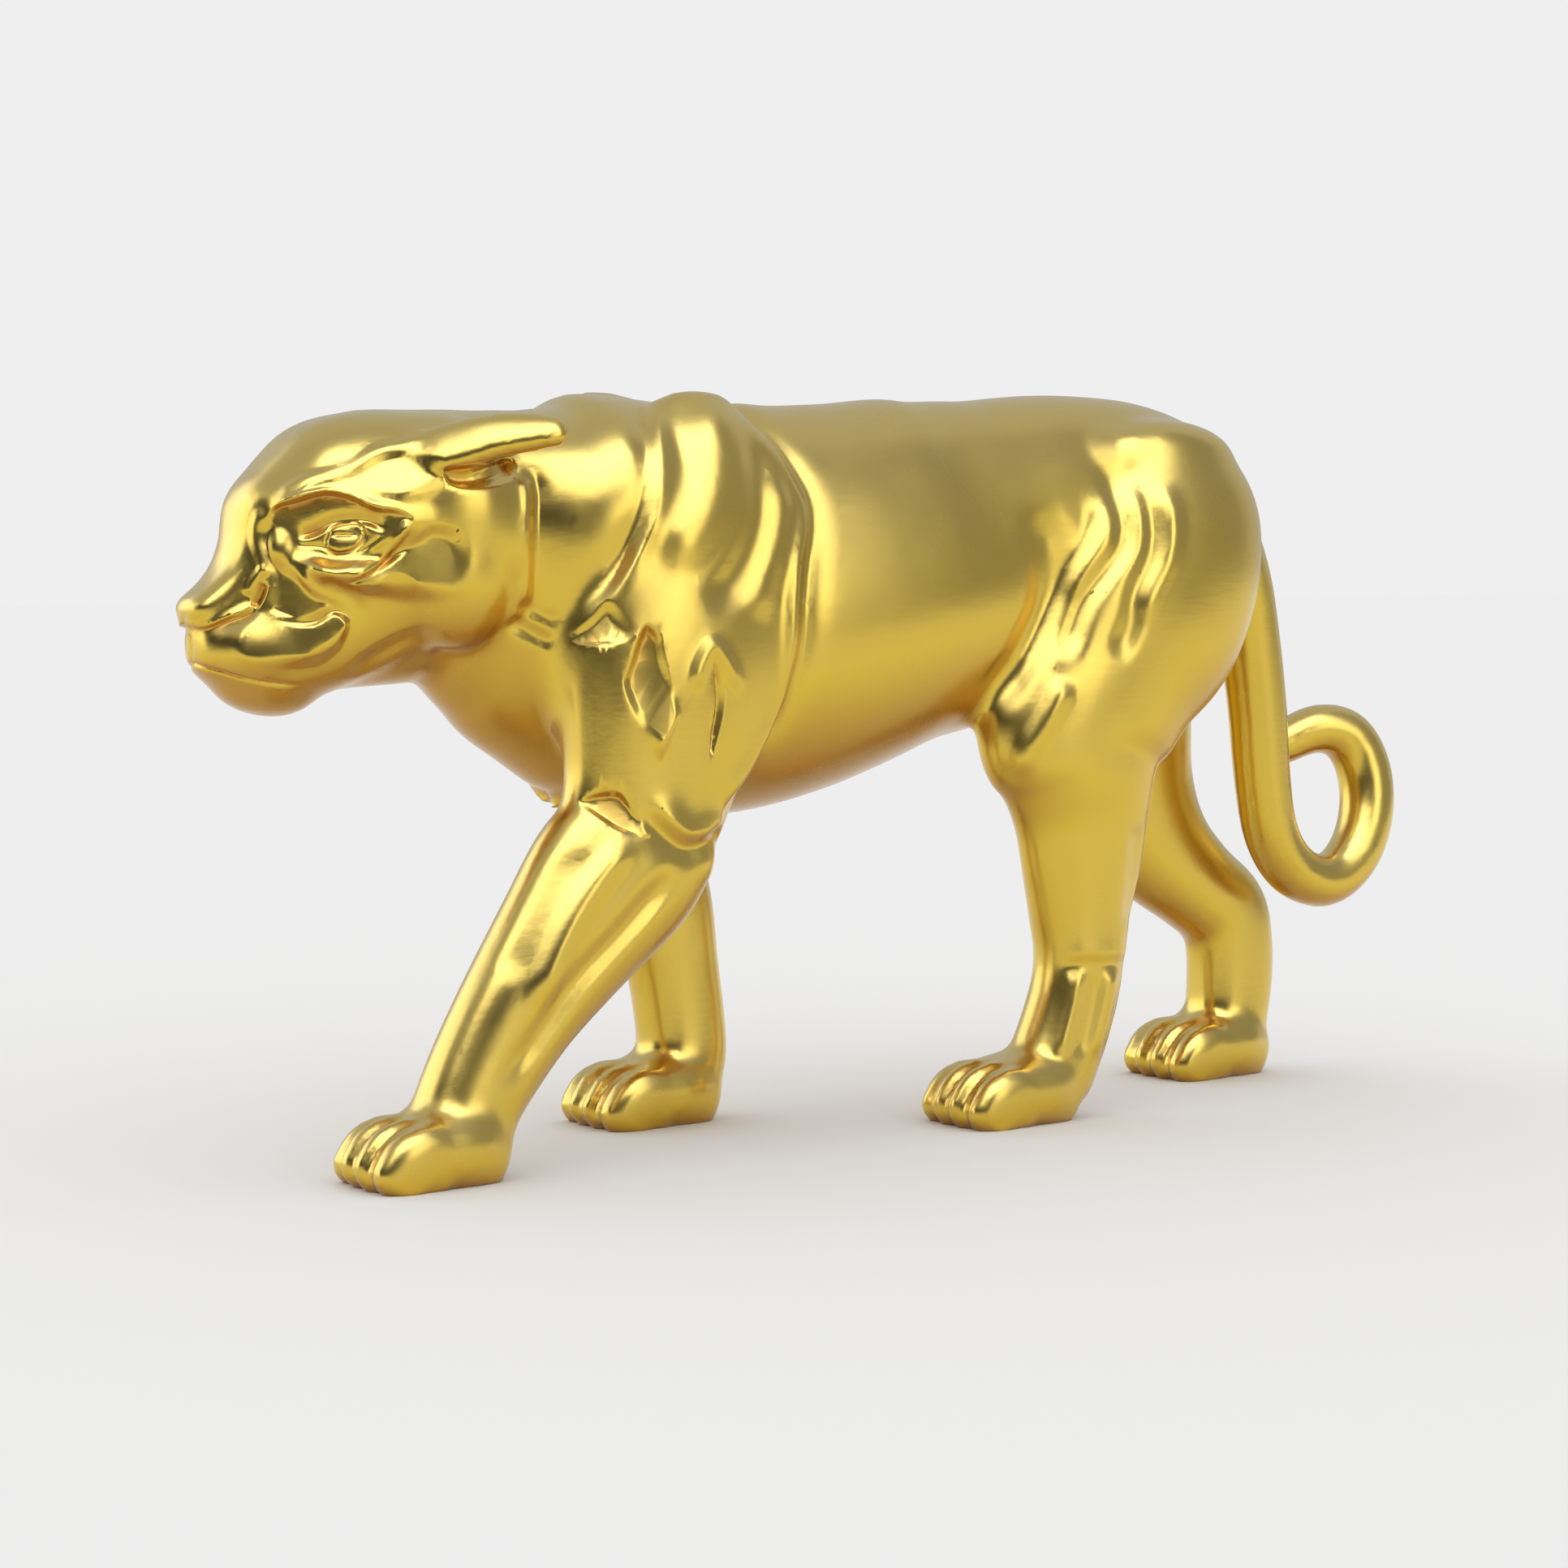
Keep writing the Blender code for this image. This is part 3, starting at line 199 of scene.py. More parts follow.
RIGHT_HIND = [(118, 21, 222, 30, 18, 20, 2), (118, 24, 200, 41, 23, 22, 2),
              (117, 26, 174, 45, 23, 22, 2.1), (122, 28, 150, 44, 21, 20, 2.1),
              (135, 30, 124, 39.5, 18, 16, 2.1), (147, 31, 101, 30, 15.5, 14.5, 2.1),
              (160.8, 31, 83, 22, 14, 13.5, 2.2), (176.8, 31, 69.5, 18, 13.2, 13, 2.3),
              (190, 31, 59, 17.4, 13, 12.5, 2.3), (193.2, 31, 47, 17, 13, 12.5, 2.3),
              (193.4, 31, 34, 16.7, 13, 12.5, 2.3), (191.8, 31, 20, 15.6, 13.5, 13, 2.3),
              (190, 31, 13, 15.4, 13.5, 13, 2.2)]
for side, rows in ((LEFT, LEFT_SHOULDER), (LEFT, LEFT_FOREARM), (LEFT, LEFT_HIND),
                   (RIGHT, RIGHT_SHOULDER), (RIGHT, RIGHT_FOREARM), (RIGHT, RIGHT_HIND)):
    stations = [(row[0], side * row[1], *row[2:]) for row in rows]
    loft(stations, (1, 0, 0), (0, side, 0), ends=(0.6, 0.4))

# The pads of the paws: the hand or foot behind the toes. Each reaches below the floor here and is cut
# flat at the end, so that the casting stands on four level soles.
PAW_LENGTH, PAW_WIDTH, PAW_HEIGHT = 53.0, 36.0, 23.0
PAW_UNDER = 0.66 * PAW_HEIGHT
# Middle of each paw
PAWS = [(-172.0, -43.0), (-52.5, 33.0), (50.7, -30.0), (180.5, 31.0)]


def paw_spot(paw, ahead, aside, up):
    """A place in a paw from shares of its length, its width and its height."""
    return (paw[0] - ahead * PAW_LENGTH, paw[1] + aside * PAW_WIDTH, up * PAW_HEIGHT)


PAD = [(-0.36, 0.37, 0.37, 0.41), (-0.22, 0.46, 0.46, 0.52), (0.0, 0.5, 0.5, 0.48),
       (0.16, 0.41, 0.5, 0.41), (0.29, 0.28, 0.47, 0.33)]
for paw in PAWS:
    rows = []
    for ahead, up, half_width, half_up in PAD:
        spot = paw_spot(paw, ahead, 0.0, up)
        rows.append((*spot, half_width * PAW_WIDTH, half_up * PAW_HEIGHT, PAW_UNDER, 2.6))
    loft(rows, (0, 1, 0), (0, 0, 1), ends=(0.6, 0.5))

# The head, held low on a level neck: a broad skull, a muzzle that tapers to the nose, and a throat.
# Eggs of clay give it chin, whisker pads, cheek muscles, brows and cheekbones.
SKULL = [(-206, 0, 202, 15, 12.5, 14, 2.2), (-200, 0, 203, 22, 18, 20, 2.2),
         (-189, 0, 204, 27, 26.5, 28, 2.2), (-174, 0, 203.5, 32.5, 30.5, 35, 2.3),
         (-158, 0, 201.5, 37.5, 32.8, 40, 2.4), (-146, 0, 201, 38.5, 33, 38, 2.5),
         (-137, 0, 202.5, 36, 31.5, 33, 2.4), (-131, 0, 204, 31, 28, 25, 2.2)]
FACE = [slab(-164, 226, 158, 33, 0.5, 2.5), slab(-178, 219, 151, 29, 0.5, 2.5, -0.05),
        slab(-190, 209, 145, 25, 0.5, 2.5, -0.1),
        slab(-200, 198, 142, 21.5, 0.48, 2.4, -0.18),
        slab(-208, 189, 142.5, 18.5, 0.46, 2.3, -0.22),
        slab(-216, 182, 146, 15.5, 0.45, 2.3, -0.22),
        slab(-223, 176, 151, 11.5, 0.45, 2.2, -0.15)]
NOSE = [(-228.5, 0, 172.4, 10.5, 4.5, 6, 2.6), (-221, 0, 176.5, 11.5, 5.5, 8, 2.8),
        (-214, 0, 184, 12.5, 6, 9, 3), (-209.5, 0, 193, 13, 7.2, 9, 3), (-206, 0, 203, 15.5, 9, 10, 2.8),
        (-198, 0, 211.5, 18, 9, 10, 2.5)]
THROAT = [(-192, 0, 160, 13, 6, 13, 2), (-176, 0, 163, 16, 8, 15, 2), (-160, 0, 166, 20, 10, 17, 2)]
for rows in (SKULL, FACE, NOSE, THROAT):
    loft(rows, (0, 1, 0), (0, 0, 1))


def egg(centre, radii, tilt=0.0, turn=0.0):
    """Adds an egg-shaped mass, tilted about Y and then turned about Z, in degrees."""
    bpy.ops.mesh.primitive_uv_sphere_add(segments=64, ring_count=32, radius=1.0)
    ball = bpy.context.object
    spin = Euler((0.0, math.radians(tilt), math.radians(turn))).to_matrix().to_4x4()
    girth = Matrix.Diagonal((*(radius * MM for radius in radii), 1.0))
    ball.data.transform(Matrix.Translation(Vector(centre) * MM) @ spin @ girth)
    masses.append(ball)


egg((-205, 0, 151), (18, 15, 11), tilt=10)
for side in (LEFT, RIGHT):
    egg((-208, side * 10, 161), (15, 11, 12))
    egg((-152, side * 24, 186), (19, 14.5, 26))
    egg((-185, side * 22, 184), (17, 10, 6.5), tilt=8, turn=side * -18)
    loft([(-205, side * 17, 202, 6, 6, 6, 2), (-197, side * 21, 204, 7, 7, 7, 2),
          (-188, side * 24, 203.5, 7, 7, 7, 2), (-179, side * 27.5, 201, 7, 7, 7, 2),
          (-168, side * 30, 199, 7, 7, 7, 2)], (0, 1, 0), (0, 0, 1))

# The tail: it drops from the rump, sweeps back and rises into an open curl. The tip ends on the right
# of the drop. Columns: place and radius.
TAIL = [(152, 0, 207, 15), (163, 0, 196, 13.5), (171.5, 0, 180, 12), (176.5, 0, 160, 11.2),
        (180.5, 0, 135, 10.8), (183, 0, 110, 10.4), (187.5, 0, 89, 10.1), (198, 0, 75.5, 10),
        (213, 0, 71.5, 9.7), (227, 1.5, 80.5, 10), (235, 4, 96, 10.2), (235.5, 7, 112, 10.2),
        (229, 9.5, 123.5, 9.8), (217, 12, 125.8, 9), (205, 14.5, 121.2, 8.2), (199, 15.5, 118.8, 7.6)]
tail_rows = [(x, y, z, radius, radius, radius, 2) for x, y, z, radius in TAIL]
loft(tail_rows, (0, 1, 0), (0, 0, 1), ends=(0.5, 1.0))


def fuse(pieces, voxel, rounds):
    """One closed skin around all pieces, softened by rounds of smoothing."""
    bpy.ops.object.select_all(action="DESELECT")
    for piece in pieces:
        piece.select_set(True)
    bpy.context.view_layer.objects.active = pieces[0]
    bpy.ops.object.join()
    joined = bpy.context.object
    skin = joined.modifiers.new("skin", "REMESH")
    skin.mode = "VOXEL"
    skin.voxel_size = voxel * MM
    bpy.ops.object.modifier_apply(modifier="skin")
    soften = joined.modifiers.new("soften", "SMOOTH")
    soften.iterations = rounds
    bpy.ops.object.modifier_apply(modifier="soften")
    return joined


body = fuse(masses, voxel=2.0, rounds=10)

# The ears and the toes, which are too fine for the first fusing. The ears are flat leaves laid back
# along the neck, and the two middle toes of each paw reach further and stand a little higher.
masses = [body]
for side in (LEFT, RIGHT):
    leaf = [(-180, 22, 213, 5, 3, 8, 2.2), (-168, 27.5, 218.5, 7.5, 3.6, 8, 2.4),
            (-156, 33, 222, 8.3, 4.2, 6, 2.6), (-145.5, 38, 225, 7.6, 4.2, 4.5, 2.6),
            (-134.5, 42.3, 226.4, 6.4, 3.8, 4, 2.5), (-127.5, 45, 226.8, 5.2, 3.4, 3.4, 2.3)]
    rows = [(row[0], side * row[1], *row[2:]) for row in leaf]
    loft(rows, (0, -0.6 * side, 0.8), (0, side, 0), ends=(0.5, 0.9))

TOES_ASIDE = (-0.37, -0.127, 0.127, 0.37)
TOE_UNDER = 0.6 * PAW_HEIGHT
# How much further and higher the middle toes are, in shares of the paw's length and height
MIDDLE_TOE = (0.037, 0.044)
for paw in PAWS:
    for aside in TOES_ASIDE:
        reach, rise = MIDDLE_TOE if abs(aside) < 0.2 else (0.0, 0.0)
        toe = [(0.02, 0.5, 0.13, 0.33), (0.13 + reach, 0.52, 0.15, 0.35),
               (0.25 + reach, 0.42, 0.16, 0.35), (0.338 + reach, 0.22, 0.15, 0.3)]
        rows = []
        for ahead, up, half_width, half_up in toe:
            spot = paw_spot(paw, ahead, aside, up + rise)
            rows.append((*spot, half_width * PAW_WIDTH, half_up * PAW_HEIGHT, TOE_UNDER, 2.1))
        loft(rows, (0, 1, 0), (0, 0, 1), ends=(0.6, 0.7))
panther = fuse(masses, voxel=1.6, rounds=4)
panther.name = "panther_casting"


# Tooling. The fused skin is worked like clay along named paths, first with broad strokes over the
# shoulders, thighs and lower legs, then with finer ones over the arms and the head. Most tools push the
# skin's points along their own normals. A flat cut fills a hollow by no more than FILL_LIMIT.
FILL_LIMIT = 3.0


class Clay:
    """The skin's points in millimetres, with the tools that push them along their normals."""

    def __init__(self, mesh):
        self.mesh = mesh
        self.spots = read(mesh.vertices, "co", 3) / MM
        self.refresh()

    def refresh(self):
        """Writes the moved points to the mesh and reads its new normals."""
        self.mesh.vertices.foreach_set("co", (self.spots * MM).ravel())
        self.mesh.update()
        self.normals = read(self.mesh.vertices, "normal", 3)

    def near(self, path, reach):
        """Points within reach of a path, their distance, distance to its side and share along it."""
        track = smooth_rows(path, 8)
        low, high = track.min(axis=0) - reach, track.max(axis=0) + reach
        picked = np.flatnonzero(((self.spots >= low) & (self.spots <= high)).all(axis=1))
        spots = self.spots[picked]
        steps = np.diff(track, axis=0)
        lengths = np.linalg.norm(steps, axis=1)
        before = np.concatenate([[0.0], np.cumsum(lengths)])
        best = np.full(len(picked), 1e9)
        foot = np.zeros((len(picked), 3))
        along = np.zeros((len(picked), 3))
        share = np.zeros(len(picked))
        for k, (step, length) in enumerate(zip(steps, lengths)):
            part = np.clip((spots - track[k]) @ step / length**2, 0.0, 1.0)
            spot = track[k] + part[:, None] * step
            distance = np.linalg.norm(spots - spot, axis=1)
            closer = distance < best
            best[closer] = distance[closer]
            foot[closer] = spot[closer]
            along[closer] = step / length
            share[closer] = (before[k] + part[closer] * length) / before[-1]
        keep = best < reach
        beside = np.cross(self.normals[picked[keep]], along[keep])
        side = ((spots[keep] - foot[keep]) * beside).sum(axis=1)
        return picked[keep], best[keep], side, share[keep]

    def push(self, picked, amount):
        """Moves the picked points out of the skin, or into it where the amount is below 0."""
        self.spots[picked] += self.normals[picked] * amount[:, None]

    def groove(self, path, width, depth, sharp=False, ends=(0.2, 0.2)):
        """A groove along a path, or a ridge where the depth is below 0."""
        picked, distance, _, share = self.near(path, width)
        fall = 1 - distance / width
        profile = fall**2 if sharp else fall**2 * (3 - 2 * fall)
        self.push(picked, -depth * profile * fade(share, ends))

    def lip(self, path, rise, dip, reach, edge=3.0, side=1, ends=(0.2, 0.2)):
        """A step along a path: one side stands proud by rise, the other sinks by dip."""
        picked, distance, beside, share = self.near(path, 2 * reach)
        upper = smooth(beside * side / edge * 0.5 + 0.5)
        spread = np.exp(-((distance / reach) ** 2))
        self.push(picked, (upper * rise - (1 - upper) * dip) * spread * fade(share, ends))

    def swell(self, centre, radii, height):
        """A soft swelling in an egg-shaped field, or a hollow where the height is below 0."""
        span = np.linalg.norm((self.spots - np.array(centre)) / np.array(radii), axis=1)
        picked = np.flatnonzero(span < 1)
        self.push(picked, height * (1 - span[picked] ** 2) ** 2)

    def settle(self, path):
        """The places of a path, moved straight onto the skin."""
        places = []
        for place in np.array(path, float):
            nearest = np.argmin(((self.spots - place) ** 2).sum(axis=1))
            normal = self.normals[nearest]
            places.append(tuple(place - normal * ((place - self.spots[nearest]) @ normal)))
        return places

    def rub(self, centre, radii, rounds):
        """Rubs the skin smooth in an egg-shaped field."""
        span = np.linalg.norm((self.spots - np.array(centre)) / np.array(radii), axis=1)
        pairs = read(self.mesh.edges, "vertices", 2, np.int32)
        pairs = pairs[(span[pairs] < 1).any(axis=1)]
        ends, others = pairs.T.ravel(), pairs[:, ::-1].T.ravel()
        count = np.maximum(np.bincount(ends, minlength=len(span)), 1)
        strength = smooth(2 - 2 * span)
        for _ in range(rounds):
            for axis in range(3):
                total = np.bincount(ends, self.spots[others, axis], minlength=len(span))
                self.spots[:, axis] += strength * (total / count - self.spots[:, axis])

    def facet(self, outline, facing, depth=0.0, flat=0.0, tilt=0.0, turn=0.0, reach=14.0):
        """Sinks or flattens a patch inside a closed outline of places, each with its edge's softness.
        A tilt above 0 sinks its upper part more and faces it up, and a turn above 0 faces it ahead."""
        rows = np.array(outline, float)
        rim = smooth_rows(np.vstack([rows[-2:], rows, rows[:3]]), 6)[12:12 + 6 * len(rows)]
        toward = np.array(facing) / np.linalg.norm(facing)
        right = np.cross((0.0, 0.0, 1.0), toward)
        right /= np.linalg.norm(right)
        frame = np.stack([right, np.cross(toward, right), toward], axis=1)
        edge = rim[:, :3] @ frame
        level = np.linalg.lstsq(np.c_[edge[:, :2], np.ones(len(edge))], edge[:, 2], rcond=None)[0]
        flats = self.spots @ frame
        above = flats[:, 2] - flats[:, :2] @ level[:2] - level[2]
        boxed = (flats[:, :2] > edge[:, :2].min(axis=0)) & (flats[:, :2] < edge[:, :2].max(axis=0))
        picked = np.flatnonzero(boxed.all(axis=1) & (np.abs(above) < reach)
                                & (self.normals @ toward > 0.0))
        x, y = flats[picked, 0], flats[picked, 1]
        inside = np.zeros(len(picked), bool)
        distance = np.full(len(picked), 1e9)
        softness = np.ones(len(picked))
        for start, end, soft in zip(edge, np.roll(edge, -1, axis=0), rim[:, 3]):
            span = end[:2] - start[:2]
            crosses = (start[1] > y) != (end[1] > y)
            inside ^= crosses & (x < start[0] + (y - start[1]) * span[0] / (span[1] + 1e-9))
            ahead = (x - start[0]) * span[0] + (y - start[1]) * span[1]
            part = np.clip(ahead / (span @ span), 0.0, 1.0)
            away = np.hypot(x - start[0] - part * span[0], y - start[1] - part * span[1])
            nearer = away < distance
            distance[nearer], softness[nearer] = away[nearer], soft
        strength = inside * smooth(distance / softness)
        sink = flat * above[picked] + depth + tilt * (y - edge[:, 1].mean())
        sink -= turn * (self.spots[picked, 0] - rim[:, 0].mean())
        self.spots[picked] -= toward * (strength * np.maximum(sink, -FILL_LIMIT))[:, None]


def smooth(value):
    value = np.clip(value, 0.0, 1.0)
    return value * value * (3 - 2 * value)


def fade(share, ends):
    """A stroke's strength: it fades in and out over the given shares of its length."""
    return smooth(share / ends[0]) * smooth((1 - share) / ends[1])


def mirror(side, *path, shift=0.0):
    """A path of the left side (y below 0), on the given side."""
    return [(x + shift, -side * y, z) for x, y, z in path]


clay = Clay(panther.data)
clay.spots[:, 2] = np.maximum(clay.spots[:, 2], 0.0)

# The shoulders: a crease before and behind, and bands of muscle down to the upper arm. The front of the
# arm runs smoothly into the chest, which it meets further back on the right, where the foreleg trails.
RIGHT_CHEST_SHIFT = 28.0
for side, shift in ((LEFT, 0.0), (RIGHT, RIGHT_CHEST_SHIFT)):
    clay.rub((-121 + shift, side * 37, 138), (17, 17, 34), 60)
for side in (LEFT, RIGHT):
    front = mirror(side, (-76, -12, 239), (-86, -28, 230), (-91, -37, 215), (-95, -42, 202),
                   (-101, -44, 190), (-108, -43, 178), (-115, -39, 169))
    clay.lip(front, 2.4, 2.0, 6.0, side=-side, ends=(0.25, 0.3))
    rear = mirror(side, (-47, -16, 237), (-42, -28, 230), (-38, -36, 219), (-35, -43, 208),
                  (-36, -46, 198), (-39, -47, 187), (-41, -48, 175), (-42, -47, 162), (-44, -45, 152),
                  (-48, -43, 139), (-56, -44, 126), (-65, -46, 115), (-73, -47, 106))
    clay.lip(rear, 2.6, 2.2, 6.0, side=side, ends=(0.12, 0.1))
    # Muscle bands over the shoulder blade
    clay.groove(mirror(side, (-62, -22, 238), (-68, -40, 224), (-72, -45, 212), (-76, -47, 204),
                       (-83, -49, 196), (-95, -50, 187)), 13.0, -2.2)
    clay.groove(mirror(side, (-52, -30, 229), (-53, -41, 214), (-56, -47, 198), (-66, -51, 182),
                       (-80, -53, 172)), 9.0, 1.8)
    clay.groove(mirror(side, (-43, -38, 214), (-46, -46, 200), (-52, -50, 184),
                       (-60, -53, 168)), 9.0, -1.4)
clay.refresh()

# The thighs: a hollow in the flank, two deep folds and the ridge at the stifle.
for side in (LEFT, RIGHT):
    flank = mirror(side, (58.5, -37, 209), (60, -37, 198), (60.5, -36, 184.5), (58.5, -35, 171),
                   (54, -35, 158), (46.5, -34, 144.5), (40, -33, 137))
    clay.groove(flank, 13.0, 2.4)
    front_fold = mirror(side, (80.5, -34, 221), (88, -35, 214), (90, -40.5, 203.5), (87.5, -44.5, 193),
                        (80, -44.5, 184), (72.5, -44, 175), (67, -44, 163), (63.5, -44.5, 152.5))
    clay.groove(front_fold, 6.5, 1.8, ends=(0.35, 0.15))
    clay.groove(mirror(side, (80, -37, 212), (82, -41, 201), (79.5, -43.5, 191), (73.5, -43, 183.5),
                       (67, -43, 173)), 7.5, -0.9)
    rear_fold = mirror(side, (92, -34, 220), (98.5, -38, 213), (100, -44, 202), (98, -46.5, 189),
                       (91.5, -46.5, 176.5), (87.5, -46.5, 164.5), (80.5, -47.5, 152.5))
    clay.groove(rear_fold, 7.0, 1.8, ends=(0.35, 0.15))
    clay.groove(mirror(side, (106, -41, 214), (106.5, -45, 201), (103.5, -47, 188), (96.5, -47, 177),
                       (91, -47, 165)), 7.0, -1.1)
    stifle = mirror(side, (64, -45, 150), (60, -45, 141), (55, -43, 132), (50, -42, 124), (49, -40, 114))
    clay.groove(stifle, 6.5, -1.8)
    clay.swell(mirror(side, (94, -32, 226))[0], (14, 12, 12), 1.5)


# The lower legs: the upper arm ends in a lip over the forearm, tendons run down to the paws.
def on_limb(rows, side, marks):
    """Places on a limb's outer face from sheet height and share across it, -1 in front and 1 behind."""
    real = sorted(rows, key=lambda row: row[2])
    heights = [row[2] for row in real]
    places = []
    for height, share in marks:
        x, y, half_width, half_out = (np.interp(height, heights, [row[k] for row in real])
                                      for k in (0, 1, 3, 4))
        bulge = (1 - abs(share) ** 2.2) ** (1 / 2.2)
        places.append((x + share * half_width, side * (y + half_out * bulge), height))
    return places


for rows, side in ((LEFT_FOREARM, LEFT), (RIGHT_FOREARM, RIGHT)):
    # The upper arm ends in a lip over the forearm
    sleeve = [(113, -0.45), (109, -0.2), (104, 0.1), (101, 0.35), (101, 0.6), (106, 0.9)]
    clay.lip(on_limb(rows, side, sleeve), 2.0, 2.2, 6.0, side=-side, ends=(0.35, 0.1))
    shin = [(104, -0.35), (92, -0.45), (78, -0.42), (62, -0.25), (50, -0.05)]
    clay.groove(on_limb(rows, side, shin), 7.0, -2.0)
    clay.groove(on_limb(rows, side, [(100, -0.8), (88, -0.85), (74, -0.8), (58, -0.7)]), 8.0, 1.0)
    tendon = [(94, 0.55), (84, 0.45), (72, 0.4), (60, 0.3), (49, 0.3), (38, 0.25), (26, 0.15)]
    clay.groove(on_limb(rows, side, tendon), 6.4, 2.2)
    clay.swell(on_limb(rows, side, [(95, 0.85)])[0], (9, 9, 12), 1.5)
for rows, side in ((LEFT_HIND, LEFT), (RIGHT_HIND, RIGHT)):
    hock = [(53, -0.9), (54, -0.5), (54, 0), (53.5, 0.5), (53, 0.95)]
    clay.lip(on_limb(rows, side, hock), 0.5, 0.9, 4.0, side=-side)
    for share, depth in ((-0.55, -1.3), (0.38, -1.3), (-0.08, 1.0)):
        marks = [(52, share), (42, share), (30, share + 0.05), (20, share + 0.1)]
        clay.groove(on_limb(rows, side, marks), 5.2, depth)
    clay.groove(on_limb(rows, side, [(100, 0.6), (88, 0.65), (74, 0.7), (62, 0.75)]), 8.0, 1.2)

# The clefts between the toes, from the instep over the front down to the floor.
for paw in PAWS:
    for first, second in zip(TOES_ASIDE, TOES_ASIDE[1:]):
        aside = (first + second) / 2
        reach = 0.036 if abs(aside) < 0.1 else 0.018
        shares = [(0.07, 0.92), (0.22, 0.9), (0.335 + reach, 0.68), (0.445 + reach, 0.35),
                  (0.465 + reach, 0.04)]
        path = [paw_spot(paw, ahead, aside, up) for ahead, up in shares]
        clay.groove(path, 4.2, 1.8, sharp=True, ends=(0.3, 0.02))
clay.refresh()

# The finer grain that the head needs. The skin is divided once all over and once more round the face,
# and the step between the ear's root and the skull is rubbed away first.
for side in (LEFT, RIGHT):
    clay.rub((-173, side * 27, 222), (15, 12, 10), 14)
clay.refresh()
finer = panther.modifiers.new("finer", "SUBSURF")
finer.levels = finer.render_levels = 1
bpy.ops.object.modifier_apply(modifier="finer")
# The face lies ahead of this and above this, in metres
FACE_REAR, FACE_BOTTOM = -0.168, 0.14
bm = bmesh.new()
bm.from_mesh(panther.data)
face_edges = [edge for edge in bm.edges
              if all(vert.co.x < FACE_REAR and vert.co.z > FACE_BOTTOM for vert in edge.verts)]
bmesh.ops.subdivide_edges(bm, edges=face_edges, cuts=1, use_grid_fill=True)
bm.to_mesh(panther.data)
bm.free()
clay = Clay(panther.data)

# The flat cuts at the root of the neck and on the upper arm: a wedge under the neck, a long diamond, a
# slit behind it and, on the left, the end of the sleeve. Each is an outline whose points end with the
# softness of the edge there. The right ones lie further back, with the arm.
RIGHT_ARM_SHIFT = 18.0


def patch(side, *outline, shift=0.0):
    """An outline of the left side (y below 0), on the given side."""
    return [(x + shift, -side * y, z, edge) for x, y, z, edge in outline]


for side, shift in ((LEFT, 0.0), (RIGHT, RIGHT_ARM_SHIFT)):
    wedge = patch(side, (-119, -34.5, 163, 1.5), (-114.5, -39, 169.5, 4), (-109.5, -43, 176, 5),
                  (-105, -47, 172.5, 6), (-99.5, -50, 163.5, 3), (-108, -47, 162, 1.2),
                  (-116, -42, 161.5, 1.2), shift=shift)
    clay.facet(wedge, (-0.55, side * 0.84, 0.0), depth=0.2, flat=0.6, tilt=0.12)
    diamond = patch(side, (-99.5, -49, 168, 3), (-94.5, -50.5, 165, 3), (-93, -51.5, 156.5, 3),
                    (-88.5, -52.5, 143, 2.5), (-89, -52.5, 137, 2.5), (-95, -52, 125, 6),
                    (-100.5, -51.5, 131, 5), (-107, -49.5, 148.5, 3), (-105, -49.5, 156.5, 3),
                    shift=shift)
    clay.facet(diamond, (-0.3, side * 0.95, 0.0), depth=0.5, flat=0.95, tilt=0.12, turn=0.14)
    slit = patch(side, (-76.5, -53, 156, 1.5), (-72, -50, 147.5, 2.5), (-72.5, -50.5, 138.5, 2.5),
                 (-77, -51.5, 126, 1.5), (-77.5, -51.5, 133, 1.2), (-76, -51.5, 142.5, 1.2), shift=shift)
    clay.facet(slit, (-0.1, side, 0.0), depth=1.8)
    clay.groove(mirror(side, (-84, -52, 146), (-80.5, -52.5, 156), (-76, -52.5, 161), (-70, -51, 154),
                       (-66, -50, 146), shift=shift), 4.5, -1.2)
    if side == LEFT:
        cuff = patch(side, (-120, -42.5, 114, 2), (-109.5, -50, 117, 2.5), (-102.5, -49.5, 110, 2),
                     (-98, -51.5, 102.5, 1.5), (-108, -50.5, 104, 1.5), (-115.5, -47, 109, 1.5))
        clay.facet(cuff, (-0.45, side * 0.89, 0.0), depth=0.6, flat=0.8, tilt=0.25)
    clay.refresh()

